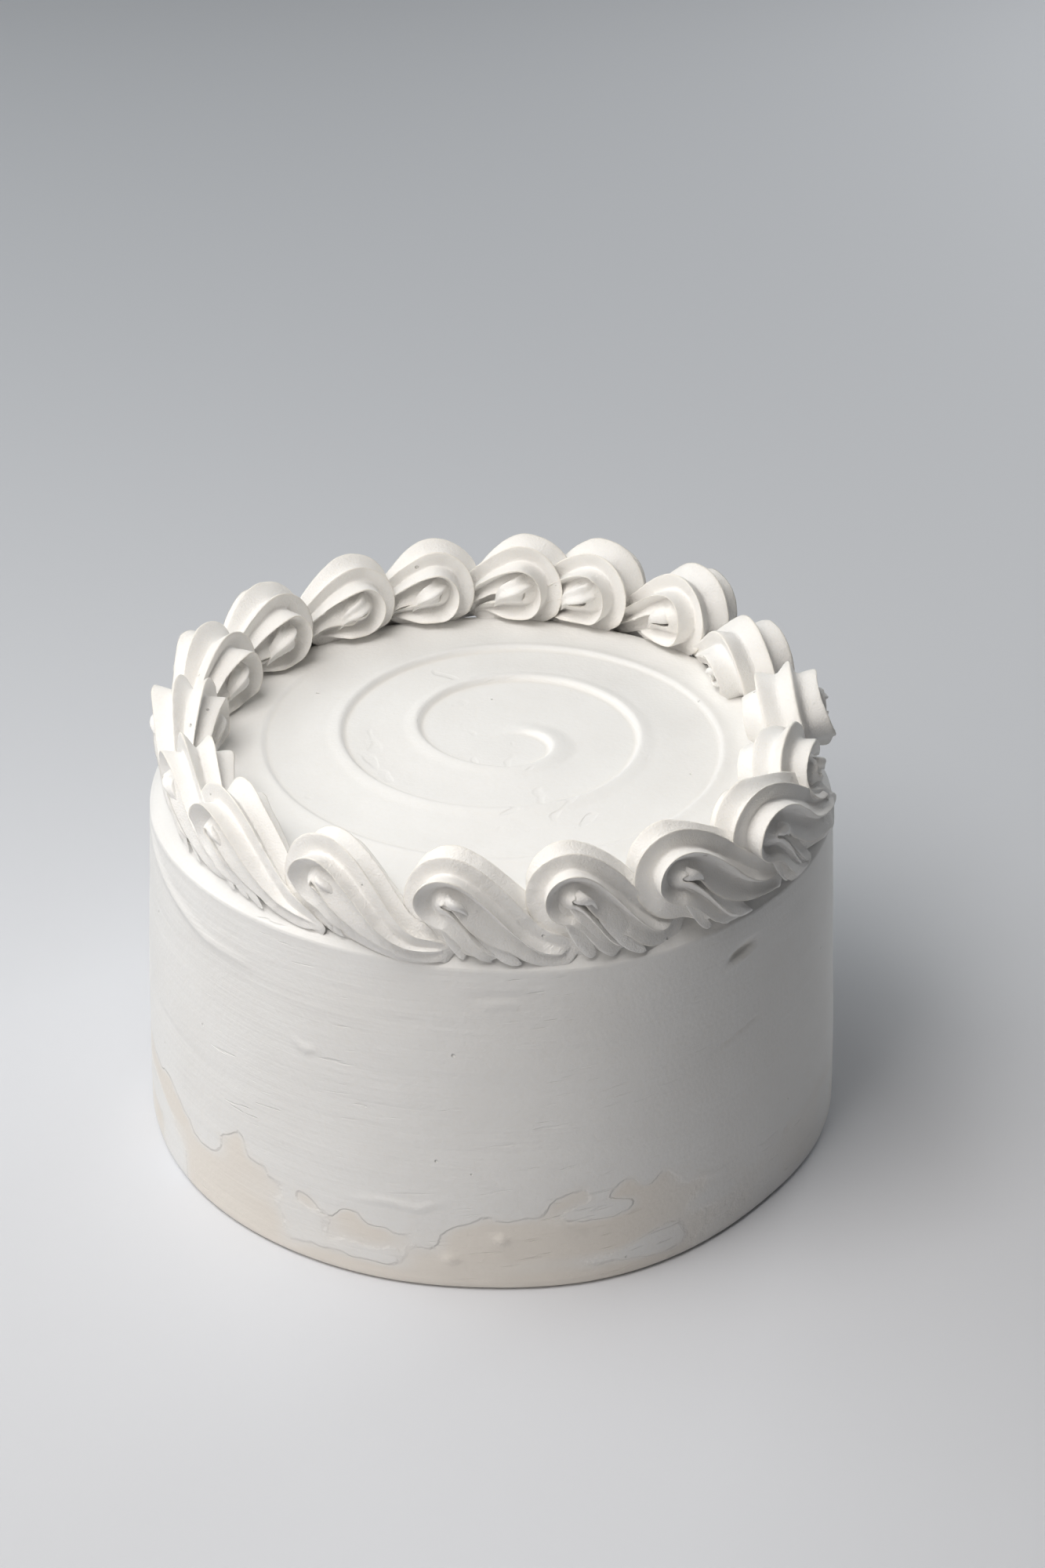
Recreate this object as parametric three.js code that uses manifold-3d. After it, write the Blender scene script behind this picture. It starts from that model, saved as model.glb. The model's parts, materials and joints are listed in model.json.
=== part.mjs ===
// A round frosted birthday cake: one solid body of cake under smooth white cream, with a
// spatula-turned spiral on its flat top, and a border of piped star shells around the rim.
// Millimetres, +Z up. The origin is on the cake's axis, on the flat face that it rests on.
import * as THREE from "three";
import { mergeVertices } from "three/addons/utils/BufferGeometryUtils.js";
import Module from "manifold-3d";

const wasm = await Module();
wasm.setup();

// ---- Driving dimensions ----

const BASE_RADIUS = 116;
const LIP_RADIUS = 110;
const TOP_HEIGHT = 127;
const LIP_HEIGHT = 114;
const RIM_FLAT_RADIUS = 86;
const BASE_EDGE = 1.2;
const SIDE_HEIGHTS = [20, 50, 84];
const TAPER_POWER = 1.25;
const GAP = 0.3;

// Hand-spread cream is out of round: swells (or dips) at a bearing in degrees, each as
// wide as its spread, least at the top, over an even three-lobed waver.
const SWELLS = [
  { bearing: -72, spread: 18, amount: 1.6 },
  { bearing: -40, spread: 16, amount: -1.5 },
];
const WAVER = { lobes: 3, amount: 0.5, phase: 0.8 };
const SWELL_LOSS_AT_TOP = 0.6;
const SWELL_FADE_POWER = 4;

// The rim's lip is high at the front left and low at the right, with a finer waver.
const LIP_TILT = { amount: 3.2, highBearing: -128 };
const LIP_WAVER = { lobes: 3, amount: 0.9, phase: 0.5 };
// From the lip to the flat top: how far in each ring lies, and its share of the rise.
const SHOULDER = [
  { inset: 5, rise: 0.42 },
  { inset: 13, rise: 0.86 },
];

const BODY_SEGMENTS = 44;
const RELIEF_RING_STEP = 4.4;
const RELIEF_INNER_RADIUS = 6;

// The spiral turns clockwise as it runs outward, and its eye drifts as it turns.
const SPIRAL = {
  eye: new THREE.Vector2(5, 13),
  drift: new THREE.Vector2(0.8, -3.6),
  startRadius: 16.7,
  pitch: 25.8,
  crest: 2.2,
  outerFall: 0.62,
  steepStart: 0.84,
  startTurns: 0.2,
  fadeFrom: 58,
  fadeTo: 83,
};

// Piped shells, by the bearing of each head's crest in degrees, counter-clockwise from +X.
const SHELL_BEARINGS = [
  -144, -121, -100, -79, -60, -39, -17, 6, 28, 50, 71, 87, 104, 120, 141, 158, 175, -165,
];
// The ring of shells sits a little off the cake's axis, and its heads swell toward the back.
const SHELL = {
  ringCentre: new THREE.Vector2(3, -2.5),
  ringRadius: 99,
  axisHeight: 9,
  headRadius: 15,
  reach: 34,
  halfWidth: 15,
  tipHalfWidth: 8,
  tipSwing: 6,
  outerDroop: 10,
  ribDepth: 4.2,
  tipRibDepth: 1.8,
  tailFullness: 1.55,
  backSwell: 0.07,
  sizeSpread: 0.03,
  swingSpread: 2.5,
};
// Ribs of the star tip, as latitudes on the scroll: crests, with a hollow between each two.
const RIB_CRESTS = [-66, -34, 0, 34, 66];
const SHELL_STEPS = 13;
const RIB_SIDE_PULL = 0.35;
const TAIL_BROADENING = 0.5;

const CREAM = { color: 0xf3f1ea, roughness: 0.55, metalness: 0 };

// ---- Small helpers ----

const radians = THREE.MathUtils.degToRad;
const { lerp, clamp, smoothstep } = THREE.MathUtils;
const TURN = 2 * Math.PI;

function creamMaterial() {
  return new THREE.MeshStandardMaterial(CREAM);
}

// A closed surface from a first pole, rings of equal size and a last pole. Rings run
// counter-clockwise as seen from the last pole.
function closedRings(firstPole, rings, lastPole) {
  const count = rings[0].length;
  const positions = [firstPole, ...rings.flat(), lastPole].flatMap((p) => p.toArray());
  const last = 1 + rings.length * count;
  const at = (ring, step) => 1 + ring * count + (step % count);
  const index = [];
  for (let step = 0; step < count; step++) {
    index.push(0, at(0, step + 1), at(0, step));
    for (let ring = 0; ring + 1 < rings.length; ring++) {
      const [a, b] = [at(ring, step), at(ring, step + 1)];
      const [c, d] = [at(ring + 1, step + 1), at(ring + 1, step)];
      index.push(a, b, c, a, c, d);
    }
    index.push(at(rings.length - 1, step), at(rings.length - 1, step + 1), last);
  }
  const geometry = new THREE.BufferGeometry();
  geometry.setAttribute("position", new THREE.Float32BufferAttribute(positions, 3));
  geometry.setIndex(index);
  return geometry;
}

function toSolid(geometry) {
  const merged = mergeVertices(geometry, 1e-4);
  return new wasm.Manifold(
    new wasm.Mesh({
      numProp: 3,
      vertProperties: new Float32Array(merged.attributes.position.array),
      triVerts: new Uint32Array(merged.index.array),
    }),
  );
}

function toGeometry(solid) {
  const mesh = solid.getMesh();
  const geometry = new THREE.BufferGeometry();
  geometry.setAttribute("position", new THREE.Float32BufferAttribute(mesh.vertProperties, 3));
  geometry.setIndex(Array.from(mesh.triVerts));
  return geometry;
}

// A cut can leave a crumb beside the piece: the piece is the largest body.
function largestBody(solid) {
  return solid.decompose().reduce((a, b) => (a.volume() > b.volume() ? a : b));
}

// ---- The cake's body ----

function waver({ lobes, amount, phase }, bearing) {
  return amount * Math.cos(lobes * bearing + phase);
}

function outOfRound(bearing, height) {
  const slack = 1 - SWELL_LOSS_AT_TOP * clamp(height / TOP_HEIGHT, 0, 1);
  const swell = SWELLS.reduce((sum, { bearing: centre, spread, amount }) => {
    return sum + amount * Math.exp(-(((bearing - radians(centre)) / radians(spread)) ** 2));
  }, 0);
  return slack * (swell + waver(WAVER, bearing));
}

function lipHeight(bearing) {
  const tilt = LIP_TILT.amount * Math.cos(bearing - radians(LIP_TILT.highBearing));
  return LIP_HEIGHT + tilt + waver(LIP_WAVER, bearing);
}

// Height of the spiral's relief over the flat top: a gentle outer fall from each crest,
// a level channel, then a steep rise to the next crest out.
function spiralRelief(x, y) {
  const { eye, drift, startRadius, pitch, crest, outerFall, steepStart } = SPIRAL;
  let turns = 0;
  let radius = 0;
  let angle = 0;
  for (let pass = 0; pass < 4; pass++) {
    const dx = x - eye.x - drift.x * turns;
    const dy = y - eye.y - drift.y * turns;
    radius = Math.hypot(dx, dy);
    angle = (Math.atan2(-dy, dx) + TURN) % TURN;
    turns = Math.max((radius - startRadius) / pitch, 0);
  }
  const phase = (radius - startRadius) / pitch - angle / TURN;
  const part = phase - Math.floor(phase);
  const innerTurns = angle / TURN + Math.floor(phase);
  const strength = (along) => smoothstep(along, 0, SPIRAL.startTurns);
  const fall = strength(innerTurns) * (1 - smoothstep(part, 0, outerFall));
  const rise = strength(innerTurns + 1) * smoothstep(part, steepStart, 1);
  const fade = 1 - smoothstep(Math.hypot(x, y), SPIRAL.fadeFrom, SPIRAL.fadeTo);
  return crest * fade * Math.max(fall, rise);
}

function taperedRadius(height) {
  const share = clamp(height / LIP_HEIGHT, 0, 1) ** TAPER_POWER;
  return lerp(BASE_RADIUS, LIP_RADIUS, share);
}

// The body's outline at a bearing, from the base's edge to the flat top: [radius, height].
function sideAndRim(bearing) {
  const lip = lipHeight(bearing);
  return [
    [BASE_RADIUS - BASE_EDGE, 0],
    [BASE_RADIUS, BASE_EDGE],
    ...SIDE_HEIGHTS.map((height) => [taperedRadius(height), height]),
    [LIP_RADIUS, lip - BASE_EDGE],
    [LIP_RADIUS - BASE_EDGE, lip + BASE_EDGE],
    ...SHOULDER.map(({ inset, rise }) => [LIP_RADIUS - inset, lerp(lip, TOP_HEIGHT, rise)]),
    [RIM_FLAT_RADIUS, TOP_HEIGHT],
  ];
}

function bodyRing(radiusAndHeight) {
  return Array.from({ length: BODY_SEGMENTS }, (_, step) => {
    const bearing = (step / BODY_SEGMENTS) * TURN - Math.PI;
    const [radius, height] = radiusAndHeight(bearing);
    const fade = (radius / BASE_RADIUS) ** SWELL_FADE_POWER;
    const reached = radius + outOfRound(bearing, height) * fade;
    return new THREE.Vector3(reached * Math.cos(bearing), reached * Math.sin(bearing), height);
  });
}

function outsideRings() {
  const count = sideAndRim(0).length;
  return Array.from({ length: count }, (_, i) => bodyRing((b) => sideAndRim(b)[i]));
}

function bodyGeometry() {
  const rings = outsideRings();
  const reliefSpan = RIM_FLAT_RADIUS - RELIEF_INNER_RADIUS;
  const reliefCount = Math.round(reliefSpan / RELIEF_RING_STEP);
  for (let i = 1; i <= reliefCount; i++) {
    const radius = RIM_FLAT_RADIUS - (i / reliefCount) * reliefSpan;
    const relief = (b) => spiralRelief(radius * Math.cos(b), radius * Math.sin(b));
    rings.push(bodyRing((b) => [radius, TOP_HEIGHT + relief(b)]));
  }
  const top = new THREE.Vector3(0, 0, TOP_HEIGHT + spiralRelief(0, 0));
  return closedRings(new THREE.Vector3(0, 0, 0), rings, top);
}

// What the shells rest on: the body without its spiral, raised by the gap.
function seatGeometry() {
  const top = new THREE.Vector3(0, 0, TOP_HEIGHT);
  return closedRings(new THREE.Vector3(0, 0, 0), outsideRings(), top).translate(0, 0, GAP);
}

// ---- The piped shells ----

// Side outline of a shell about its scroll axis: a round head, drawn out into a tail.
function shellOutline(angle) {
  const { headRadius, reach, tailFullness } = SHELL;
  if (Math.cos(angle) <= 0) return headRadius;
  const along = Math.abs(Math.cos(angle) / reach) ** tailFullness;
  const across = Math.abs(Math.sin(angle) / headRadius) ** tailFullness;
  return (along + across) ** (-1 / tailFullness);
}

// Latitudes of the shell's rings: every crest, and the hollow between each two.
function ribLatitudes() {
  return RIB_CRESTS.flatMap((degrees, i) => {
    const crest = { degrees, crest: 1 };
    const next = RIB_CRESTS[i + 1];
    return next === undefined ? [crest] : [crest, { degrees: (degrees + next) / 2, crest: 0 }];
  });
}

// Shells piped by hand differ a little in size and in how far their tails swing outward.
function handOf(index) {
  const { backSwell, sizeSpread, tipSwing, swingSpread } = SHELL;
  const bearing = radians(SHELL_BEARINGS[index]);
  return {
    size: 1 + backSwell * Math.sin(bearing) + sizeSpread * Math.sin(2.4 * index + 1),
    swing: tipSwing + swingSpread * Math.sin(1.7 * index + 2),
  };
}

// A point of a shell, from the place along the ring, outward across it and up. Past the
// ring's middle the cream droops over the rim.
function ontoRing(headBearing, along, across, up) {
  const bearing = headBearing + along / SHELL.ringRadius;
  const radius = SHELL.ringRadius + across;
  const droop = SHELL.outerDroop * Math.max(across / SHELL.halfWidth, 0) ** 2;
  return new THREE.Vector3(
    SHELL.ringCentre.x + radius * Math.cos(bearing),
    SHELL.ringCentre.y + radius * Math.sin(bearing),
    TOP_HEIGHT + up - droop,
  );
}

// One shell: rings around the scroll axis, each at its own latitude, from the shell's
// inner face to its outer face. Swollen by grow, it is the cutter for its neighbour.
function shellGeometry(index, grow) {
  const { axisHeight, reach, halfWidth, tipHalfWidth, ribDepth, tipRibDepth } = SHELL;
  const head = radians(SHELL_BEARINGS[index]);
  const hand = handOf(index);
  const rings = ribLatitudes().map(({ degrees, crest }) => {
    const latitude = radians(degrees);
    return Array.from({ length: SHELL_STEPS }, (_, step) => {
      const angle = (step / SHELL_STEPS) * TURN;
      const full = shellOutline(angle) * hand.size;
      const tail = clamp((full * Math.cos(angle)) / reach, 0, 1);
      const depth = lerp(ribDepth, tipRibDepth, tail) * (1 - crest);
      const narrowing = lerp(Math.cos(latitude), 1, TAIL_BROADENING * tail);
      const out = (full - depth) * narrowing + grow;
      const width = lerp(halfWidth, tipHalfWidth, tail) - RIB_SIDE_PULL * depth + grow;
      const across = width * Math.sin(latitude) + hand.swing * tail ** 2;
      return ontoRing(head, out * Math.cos(angle), across, axisHeight + out * Math.sin(angle));
    });
  });
  const innerFace = ontoRing(head, 0, -(halfWidth + grow), axisHeight);
  const outerFace = ontoRing(head, 0, halfWidth + grow, axisHeight);
  return closedRings(innerFace, rings, outerFace);
}

// ---- Assembly ----

function addMesh(group, name, geometry) {
  const mesh = new THREE.Mesh(geometry, creamMaterial());
  mesh.name = name;
  group.add(mesh);
}

function buildCake() {
  const group = new THREE.Group();
  addMesh(group, "cake", bodyGeometry());
  const seat = toSolid(seatGeometry());
  SHELL_BEARINGS.forEach((_, i) => {
    // Each head is piped over the tail of the shell before it.
    const before = (i + SHELL_BEARINGS.length - 1) % SHELL_BEARINGS.length;
    const uncut = toSolid(shellGeometry(i, 0));
    const piece = uncut.subtract(seat).subtract(toSolid(shellGeometry(before, GAP)));
    addMesh(group, `shell_${String(i + 1).padStart(2, "0")}`, toGeometry(largestBody(piece)));
  });
  return group;
}

export default buildCake();
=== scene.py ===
"""A round birthday cake in white cream: a turned spiral on its top and a piped shell border."""
import json
import logging
import math
from dataclasses import dataclass, fields
from enum import Enum

import bmesh
import bpy
import numpy as np
from bpy.types import Material, Mesh, Node, NodeSocket, NodeTree, Object
from mathutils import Euler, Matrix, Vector

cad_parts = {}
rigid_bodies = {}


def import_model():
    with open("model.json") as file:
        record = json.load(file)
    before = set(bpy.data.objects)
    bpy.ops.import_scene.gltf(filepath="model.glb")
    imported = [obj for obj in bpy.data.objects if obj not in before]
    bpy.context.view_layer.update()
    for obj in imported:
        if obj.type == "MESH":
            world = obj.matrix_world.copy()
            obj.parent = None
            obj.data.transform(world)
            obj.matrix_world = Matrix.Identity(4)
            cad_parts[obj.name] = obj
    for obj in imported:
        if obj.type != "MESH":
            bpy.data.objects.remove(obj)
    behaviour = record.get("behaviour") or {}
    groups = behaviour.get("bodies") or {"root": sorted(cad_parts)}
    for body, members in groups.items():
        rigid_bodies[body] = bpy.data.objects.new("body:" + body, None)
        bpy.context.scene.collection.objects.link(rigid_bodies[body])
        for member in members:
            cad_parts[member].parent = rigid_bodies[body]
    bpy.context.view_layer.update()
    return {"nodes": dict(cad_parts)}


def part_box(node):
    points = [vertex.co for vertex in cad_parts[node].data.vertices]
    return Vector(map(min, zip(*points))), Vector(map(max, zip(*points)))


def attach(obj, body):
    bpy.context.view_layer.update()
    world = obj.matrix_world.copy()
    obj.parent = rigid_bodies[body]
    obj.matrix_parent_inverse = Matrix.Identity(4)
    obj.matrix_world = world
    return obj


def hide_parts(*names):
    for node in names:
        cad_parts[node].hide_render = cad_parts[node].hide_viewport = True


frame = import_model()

MM = 0.001
TURN = 2.0 * math.pi
ROOT_BODY = "root"
HASH_PRIMES = (73856093, 19349663, 83492791)
SEED_PRIME = 2654435761
MIX_PRIME = 1274126177
HASH_BITS = 0xFFFF
HOLLOW_ROUNDS = 14
LEAST_END = 0.02
FOLD_AROUND = 42
FOLD_GROOVE = 0.12
FOLD_GROOVE_BY_RIBS = 0.04
SWELL_ROOM = 0.2
SPIRAL_ROOM = 2.2
COLOUR_A, COLOUR_B, COLOUR_OUT = 6, 7, 2
LOG = logging.getLogger("birthday_cake")

Array = np.ndarray
Pair = tuple[float, float]
Triple = tuple[float, float, float]


class Slot(Enum):
    """The record's material slots."""

    BODY = "body_cream"
    SHELL = "shell_cream"


class Mark(Enum):
    """What a stroke leaves in soft cream: +1 stands proud and -1 is pressed in."""

    RIDGE = 1.0
    GROOVE = -1.0


class Draw(Enum):
    """What is added to a shell's seed for each of its own runs of random numbers."""

    TORN = 50
    TONGUE = 500
    LEAVES = 700
    PITS = 900


# ---- Small tools ----


def smoothstep(value: Array, low: float, high: float) -> Array:
    """Ease numbers from 0 at low to 1 at high."""
    share = np.clip((value - low) / (high - low), 0.0, 1.0)
    return share * share * (3.0 - 2.0 * share)


def rounded_end(share: Array) -> Array:
    """Width of a round end over its full width, by the share of the way to where it is full."""
    return np.sqrt(np.clip(share, LEAST_END, 1.0))


def unit(vectors: Array) -> Array:
    """Scale rows of x, y and z to a length of 1."""
    return vectors / np.linalg.norm(vectors, axis=1, keepdims=True)


def in_round(radius: Array, bearing: Array, height: Array) -> Array:
    """Places at a radius, a bearing and a height, with x, y and z on the last axis."""
    return np.stack([radius * np.cos(bearing), radius * np.sin(bearing), height], axis=-1)


def rotated(first: Array, second: Array, degrees: float) -> tuple[Array, Array]:
    """Turn two coordinates in their plane, from the first towards the second."""
    cosine, sine = math.cos(math.radians(degrees)), math.sin(math.radians(degrees))
    return first * cosine - second * sine, first * sine + second * cosine


def smoothed(line: Array, rounds: int) -> Array:
    """Even out a line of points between its ends, as many times as there are rounds."""
    for _ in range(rounds):
        line[1:-1] = 0.25 * line[:-2] + 0.5 * line[1:-1] + 0.25 * line[2:]
    return line


def swept(line: Array, upper: Array, beside: Array, high: Array, wide: Array) -> Array:
    """Carry sections along a line.

    Args:
        line: Places as [step, xyz].
        upper: Each section's first axis, as [step, xyz].
        beside: Its second axis.
        high: How far each point lies along the first axis, as [step, place round the section].
        wide: How far it lies along the second.

    Returns:
        Points as [step, place round the section, xyz].
    """
    return line[:, None] + upper[:, None] * high[..., None] + beside[:, None] * wide[..., None]


def lattice_noise(points: Array, seed: int) -> Array:
    """Smooth noise in space, from -1 to 1, with features about one unit across.

    Args:
        points: Places, as rows of x, y and z.
        seed: Picks one noise field.

    Returns:
        One number for each place.
    """
    cell = np.floor(points).astype(np.int64)
    part = smoothstep(points - cell, 0.0, 1.0)
    total = np.zeros(len(points))
    for corner in range(8):
        step = np.array([corner & 1, corner >> 1 & 1, corner >> 2 & 1])
        x, y, z = ((cell + step) * np.array(HASH_PRIMES)).T
        mixed = x ^ y ^ z ^ (seed * SEED_PRIME)
        mixed = (mixed ^ (mixed >> 13)) * MIX_PRIME
        value = ((mixed ^ (mixed >> 16)) & HASH_BITS) / (HASH_BITS / 2) - 1.0
        weight = np.prod(np.where(step == 1, part, 1.0 - part), axis=1)
        total += value * weight
    return total


@dataclass(frozen=True)
class Unevenness:
    """Smooth swells and dips: how far apart they are along each axis, how deep, and their seed."""

    spacing: Triple
    depth: float
    seed: int

    def at(self, points: Array) -> Array:
        """Height of the swells at each place, given as rows of x, y and z."""
        return self.depth * lattice_noise(points / np.array(self.spacing), self.seed)


def relief_of(layers: tuple[Unevenness, ...], points: Array, start: float = 0.0) -> Array:
    """Add layers of unevenness to a starting height."""
    return sum((layer.at(points) for layer in layers), start)


def neighbour_mean(values: Array, edges: Array) -> Array:
    """Average each vertex's values over the vertices that it shares an edge with.

    Args:
        values: One row for each vertex.
        edges: Pairs of vertex numbers.

    Returns:
        The averages, in the same shape.
    """
    count = len(values)
    ends = np.concatenate([edges[:, 0], edges[:, 1]])
    others = np.concatenate([edges[:, 1], edges[:, 0]])
    degree = np.maximum(np.bincount(ends, minlength=count), 1)
    columns = [np.bincount(ends, values[others, i], count) / degree for i in range(values.shape[1])]
    return np.stack(columns, axis=1)


def cavity_mask(points: Array, normals: Array, edges: Array, reach: float) -> Array:
    """Find how deep in a hollow each vertex lies, for the painted shade in creases.

    Args:
        points: Vertices.
        normals: Their normals.
        edges: Pairs of vertex numbers.
        reach: The hollow's depth that counts as full.

    Returns:
        0 on crests and flats, up to 1 deep in a hollow.
    """
    blurred = points
    for _ in range(HOLLOW_ROUNDS):
        blurred = neighbour_mean(blurred, edges)
    depth = np.einsum("ij,ij->i", blurred - points, normals)
    return smoothstep(depth, 0.0, reach)


def mesh_from_grid(name: str, grid: Array, first: Array, last: Array) -> Mesh:
    """Build a closed mesh from rings of points, with a pole at each end.

    Args:
        name: The mesh's name.
        grid: Points as [ring, place in the ring, xyz].
        first: The pole before the first ring.
        last: The pole after the last ring.

    Returns:
        The mesh, with its faces pointing out when rings run counter-clockwise as seen
        from the last pole.
    """
    rings, around = grid.shape[:2]
    points = np.concatenate([first[None], grid.reshape(-1, 3), last[None]])
    here = np.arange(around)
    ahead = (here + 1) % around
    low = 1 + around * np.arange(rings - 1)[:, None]
    high = low + around
    sides = np.stack([low + here, low + ahead, high + ahead, high + here], axis=2).reshape(-1, 4)
    top, end = 1 + (rings - 1) * around, len(points) - 1
    bottom_fan = [(0, 1 + int(b), 1 + int(a)) for a, b in zip(here, ahead)]
    top_fan = [(top + int(a), top + int(b), end) for a, b in zip(here, ahead)]
    mesh = bpy.data.meshes.new(name)
    mesh.from_pydata(points.tolist(), [], bottom_fan + sides.tolist() + top_fan)
    mesh.update()
    return mesh


def read_rows(source: bpy.types.bpy_prop_collection, key: str, columns: int, kind: type) -> Array:
    """Read one property of a mesh's vertices, normals or edges, as rows of numbers."""
    flat = np.empty(len(source) * columns, kind)
    source.foreach_get(key, flat)
    return flat.reshape(-1, columns)


def read_points(mesh: Mesh) -> Array:
    """Read a mesh's vertices as rows of x, y and z."""
    return read_rows(mesh.vertices, "co", 3, np.float32).astype(float)


def read_normals(mesh: Mesh) -> Array:
    """Read a mesh's vertex normals as rows of x, y and z."""
    return read_rows(mesh.vertex_normals, "vector", 3, np.float32).astype(float)


def read_edges(mesh: Mesh) -> Array:
    """Read a mesh's edges as pairs of vertex numbers."""
    return read_rows(mesh.edges, "vertices", 2, np.int32)


def put_in_scene(name: str, data: bpy.types.ID) -> Object:
    """Add an object with its data to the scene."""
    made = bpy.data.objects.new(name, data)
    bpy.context.collection.objects.link(made)
    return made


def write_points(mesh: Mesh, points: Array) -> None:
    """Put rows of x, y and z back into a mesh and shade it smooth."""
    mesh.vertices.foreach_set("co", points.astype(np.float32).ravel())
    mesh.polygons.foreach_set("use_smooth", np.ones(len(mesh.polygons), bool))
    mesh.update()


def write_mask(mesh: Mesh, name: str, values: Array) -> None:
    """Store one number for each vertex, for a material to read by name."""
    attribute = mesh.attributes.new(name, "FLOAT", "POINT")
    attribute.data.foreach_set("value", values.astype(np.float32))


# ---- Finishes ----


class Wiring:
    """Short ways to add and join nodes in one tree."""

    def __init__(self, tree: NodeTree) -> None:
        """Keep the tree that the nodes go into."""
        self.tree = tree

    @classmethod
    def group(cls, name: str, inputs: tuple[str, ...]) -> "Wiring":
        """Start a shader node group with number sockets.

        Args:
            name: The group's name.
            inputs: Its inputs' names.

        Returns:
            The wiring of the group, with its input and output nodes in place.
        """
        tree = bpy.data.node_groups.new(name, "ShaderNodeTree")
        for label in inputs:
            tree.interface.new_socket(label, in_out="INPUT", socket_type="NodeSocketFloat")
        tree.nodes.new("NodeGroupInput")
        tree.nodes.new("NodeGroupOutput")
        return cls(tree)

    def given(self, label: str) -> NodeSocket:
        """Give a group's input."""
        return self.tree.nodes["Group Input"].outputs[label]

    def result(self, **sources: NodeSocket) -> NodeTree:
        """Add an output to the group for each source, in order, and give back the group."""
        for label in sources:
            self.tree.interface.new_socket(label, in_out="OUTPUT", socket_type="NodeSocketFloat")
        self.feed(self.tree.nodes["Group Output"], sources)
        return self.tree

    def feed(self, node: Node, inputs: dict[str | int, object]) -> None:
        """Link each of a node's inputs to its source socket, or set its value.

        Args:
            node: The node.
            inputs: Sources or values, by the input's name or number.
        """
        for key, source in inputs.items():
            if isinstance(source, NodeSocket):
                self.tree.links.new(source, node.inputs[key])
            else:
                node.inputs[key].default_value = source

    def node(self, kind: str, inputs: dict[str | int, object], **settings: object) -> Node:
        """Add a node, set its properties and feed its inputs.

        Args:
            kind: The node's type.
            inputs: Sources or values, by the input's name or number.
            **settings: Properties to set.

        Returns:
            The node.
        """
        made = self.tree.nodes.new(kind)
        for key, value in settings.items():
            setattr(made, key, value)
        self.feed(made, inputs)
        return made

    def place(self) -> NodeSocket:
        """Give coordinates in the object's own frame."""
        return self.node("ShaderNodeTexCoord", {}).outputs["Object"]

    def mask(self, name: str) -> NodeSocket:
        """Give the number that is stored on the mesh under a name."""
        return self.node("ShaderNodeAttribute", {}, attribute_name=name).outputs["Fac"]

    def math(self, operation: str, *values: object) -> NodeSocket:
        """Add a Math node and give back its result."""
        return self.node("ShaderNodeMath", dict(enumerate(values)), operation=operation).outputs[0]

    def ease(self, value: object, low: float, high: float) -> NodeSocket:
        """Ease a number from 0 at low to 1 at high."""
        inputs = {"Value": value, "From Min": low, "From Max": high}
        return self.node("ShaderNodeMapRange", inputs, interpolation_type="SMOOTHSTEP").outputs["Result"]

    def noise(self, place: object, scale: object, detail: float) -> NodeSocket:
        """Add a Noise texture and give back its number."""
        inputs = {"Vector": place, "Scale": scale, "Detail": detail}
        return self.node("ShaderNodeTexNoise", inputs).outputs["Fac"]

    def mapped(self, place: object, change: str, amount: Triple) -> NodeSocket:
        """Change coordinates by one input of a Mapping node, Scale or Rotation."""
        return self.node("ShaderNodeMapping", {"Vector": place, change: amount}).outputs["Vector"]

    def mix(self, share: object, low: object, high: object) -> NodeSocket:
        """Mix two colours by a share from 0 to 1."""
        inputs = {"Factor": share, COLOUR_A: low, COLOUR_B: high}
        return self.node("ShaderNodeMix", inputs, data_type="RGBA").outputs[COLOUR_OUT]


@dataclass(frozen=True)
class WhippedGrain:
    """The grain of whipped cream: fine grain, soft unevenness and small air pits. Scales are
    features in a metre, depths are in metres, and pit sizes are shares of the pits' spacing."""

    grain_detail: float = 4.0
    grain_depth: float = 0.00028
    soft_scale: float = 160.0
    soft_detail: float = 2.0
    soft_depth: float = 0.0003
    pit_scale: float = 190.0
    pit_depth: float = 0.0011
    pit_size: float = 0.06
    pit_spread: float = 0.1
    pit_slope: float = 0.7

    def build(self) -> NodeTree:
        """Make the node group.

        Returns:
            A group with inputs Grain Scale, Grain Depth and Pit Share, and outputs Height, in
            metres, and the masks Grain and Pits, from 0 to 1.
        """
        wire = Wiring.group("whipped_grain", ("Grain Scale", "Grain Depth", "Pit Share"))
        place = wire.place()
        grain = wire.noise(place, wire.given("Grain Scale"), self.grain_detail)
        soft = wire.noise(place, self.soft_scale, self.soft_detail)
        cells = wire.node("ShaderNodeTexVoronoi", {"Vector": place, "Scale": self.pit_scale})
        chance = wire.node("ShaderNodeSeparateColor", {"Color": cells.outputs["Color"]})
        chosen = wire.math("LESS_THAN", chance.outputs["Red"], wire.given("Pit Share"))
        reach = wire.math("MULTIPLY_ADD", chance.outputs["Green"], self.pit_spread, self.pit_size)
        near = wire.math("SUBTRACT", 1.0, wire.math("DIVIDE", cells.outputs["Distance"], reach))
        pits = wire.math("MULTIPLY", wire.ease(near, 0.0, self.pit_slope), chosen)
        fine = wire.math("MULTIPLY", grain, self.grain_depth)
        broad = wire.math("MULTIPLY_ADD", soft, self.soft_depth, fine)
        pitted = wire.math("MULTIPLY_ADD", pits, -self.pit_depth, broad)
        height = wire.math("MULTIPLY", pitted, wire.given("Grain Depth"))
        return wire.result(Height=height, Grain=grain, Pits=pits)


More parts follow.
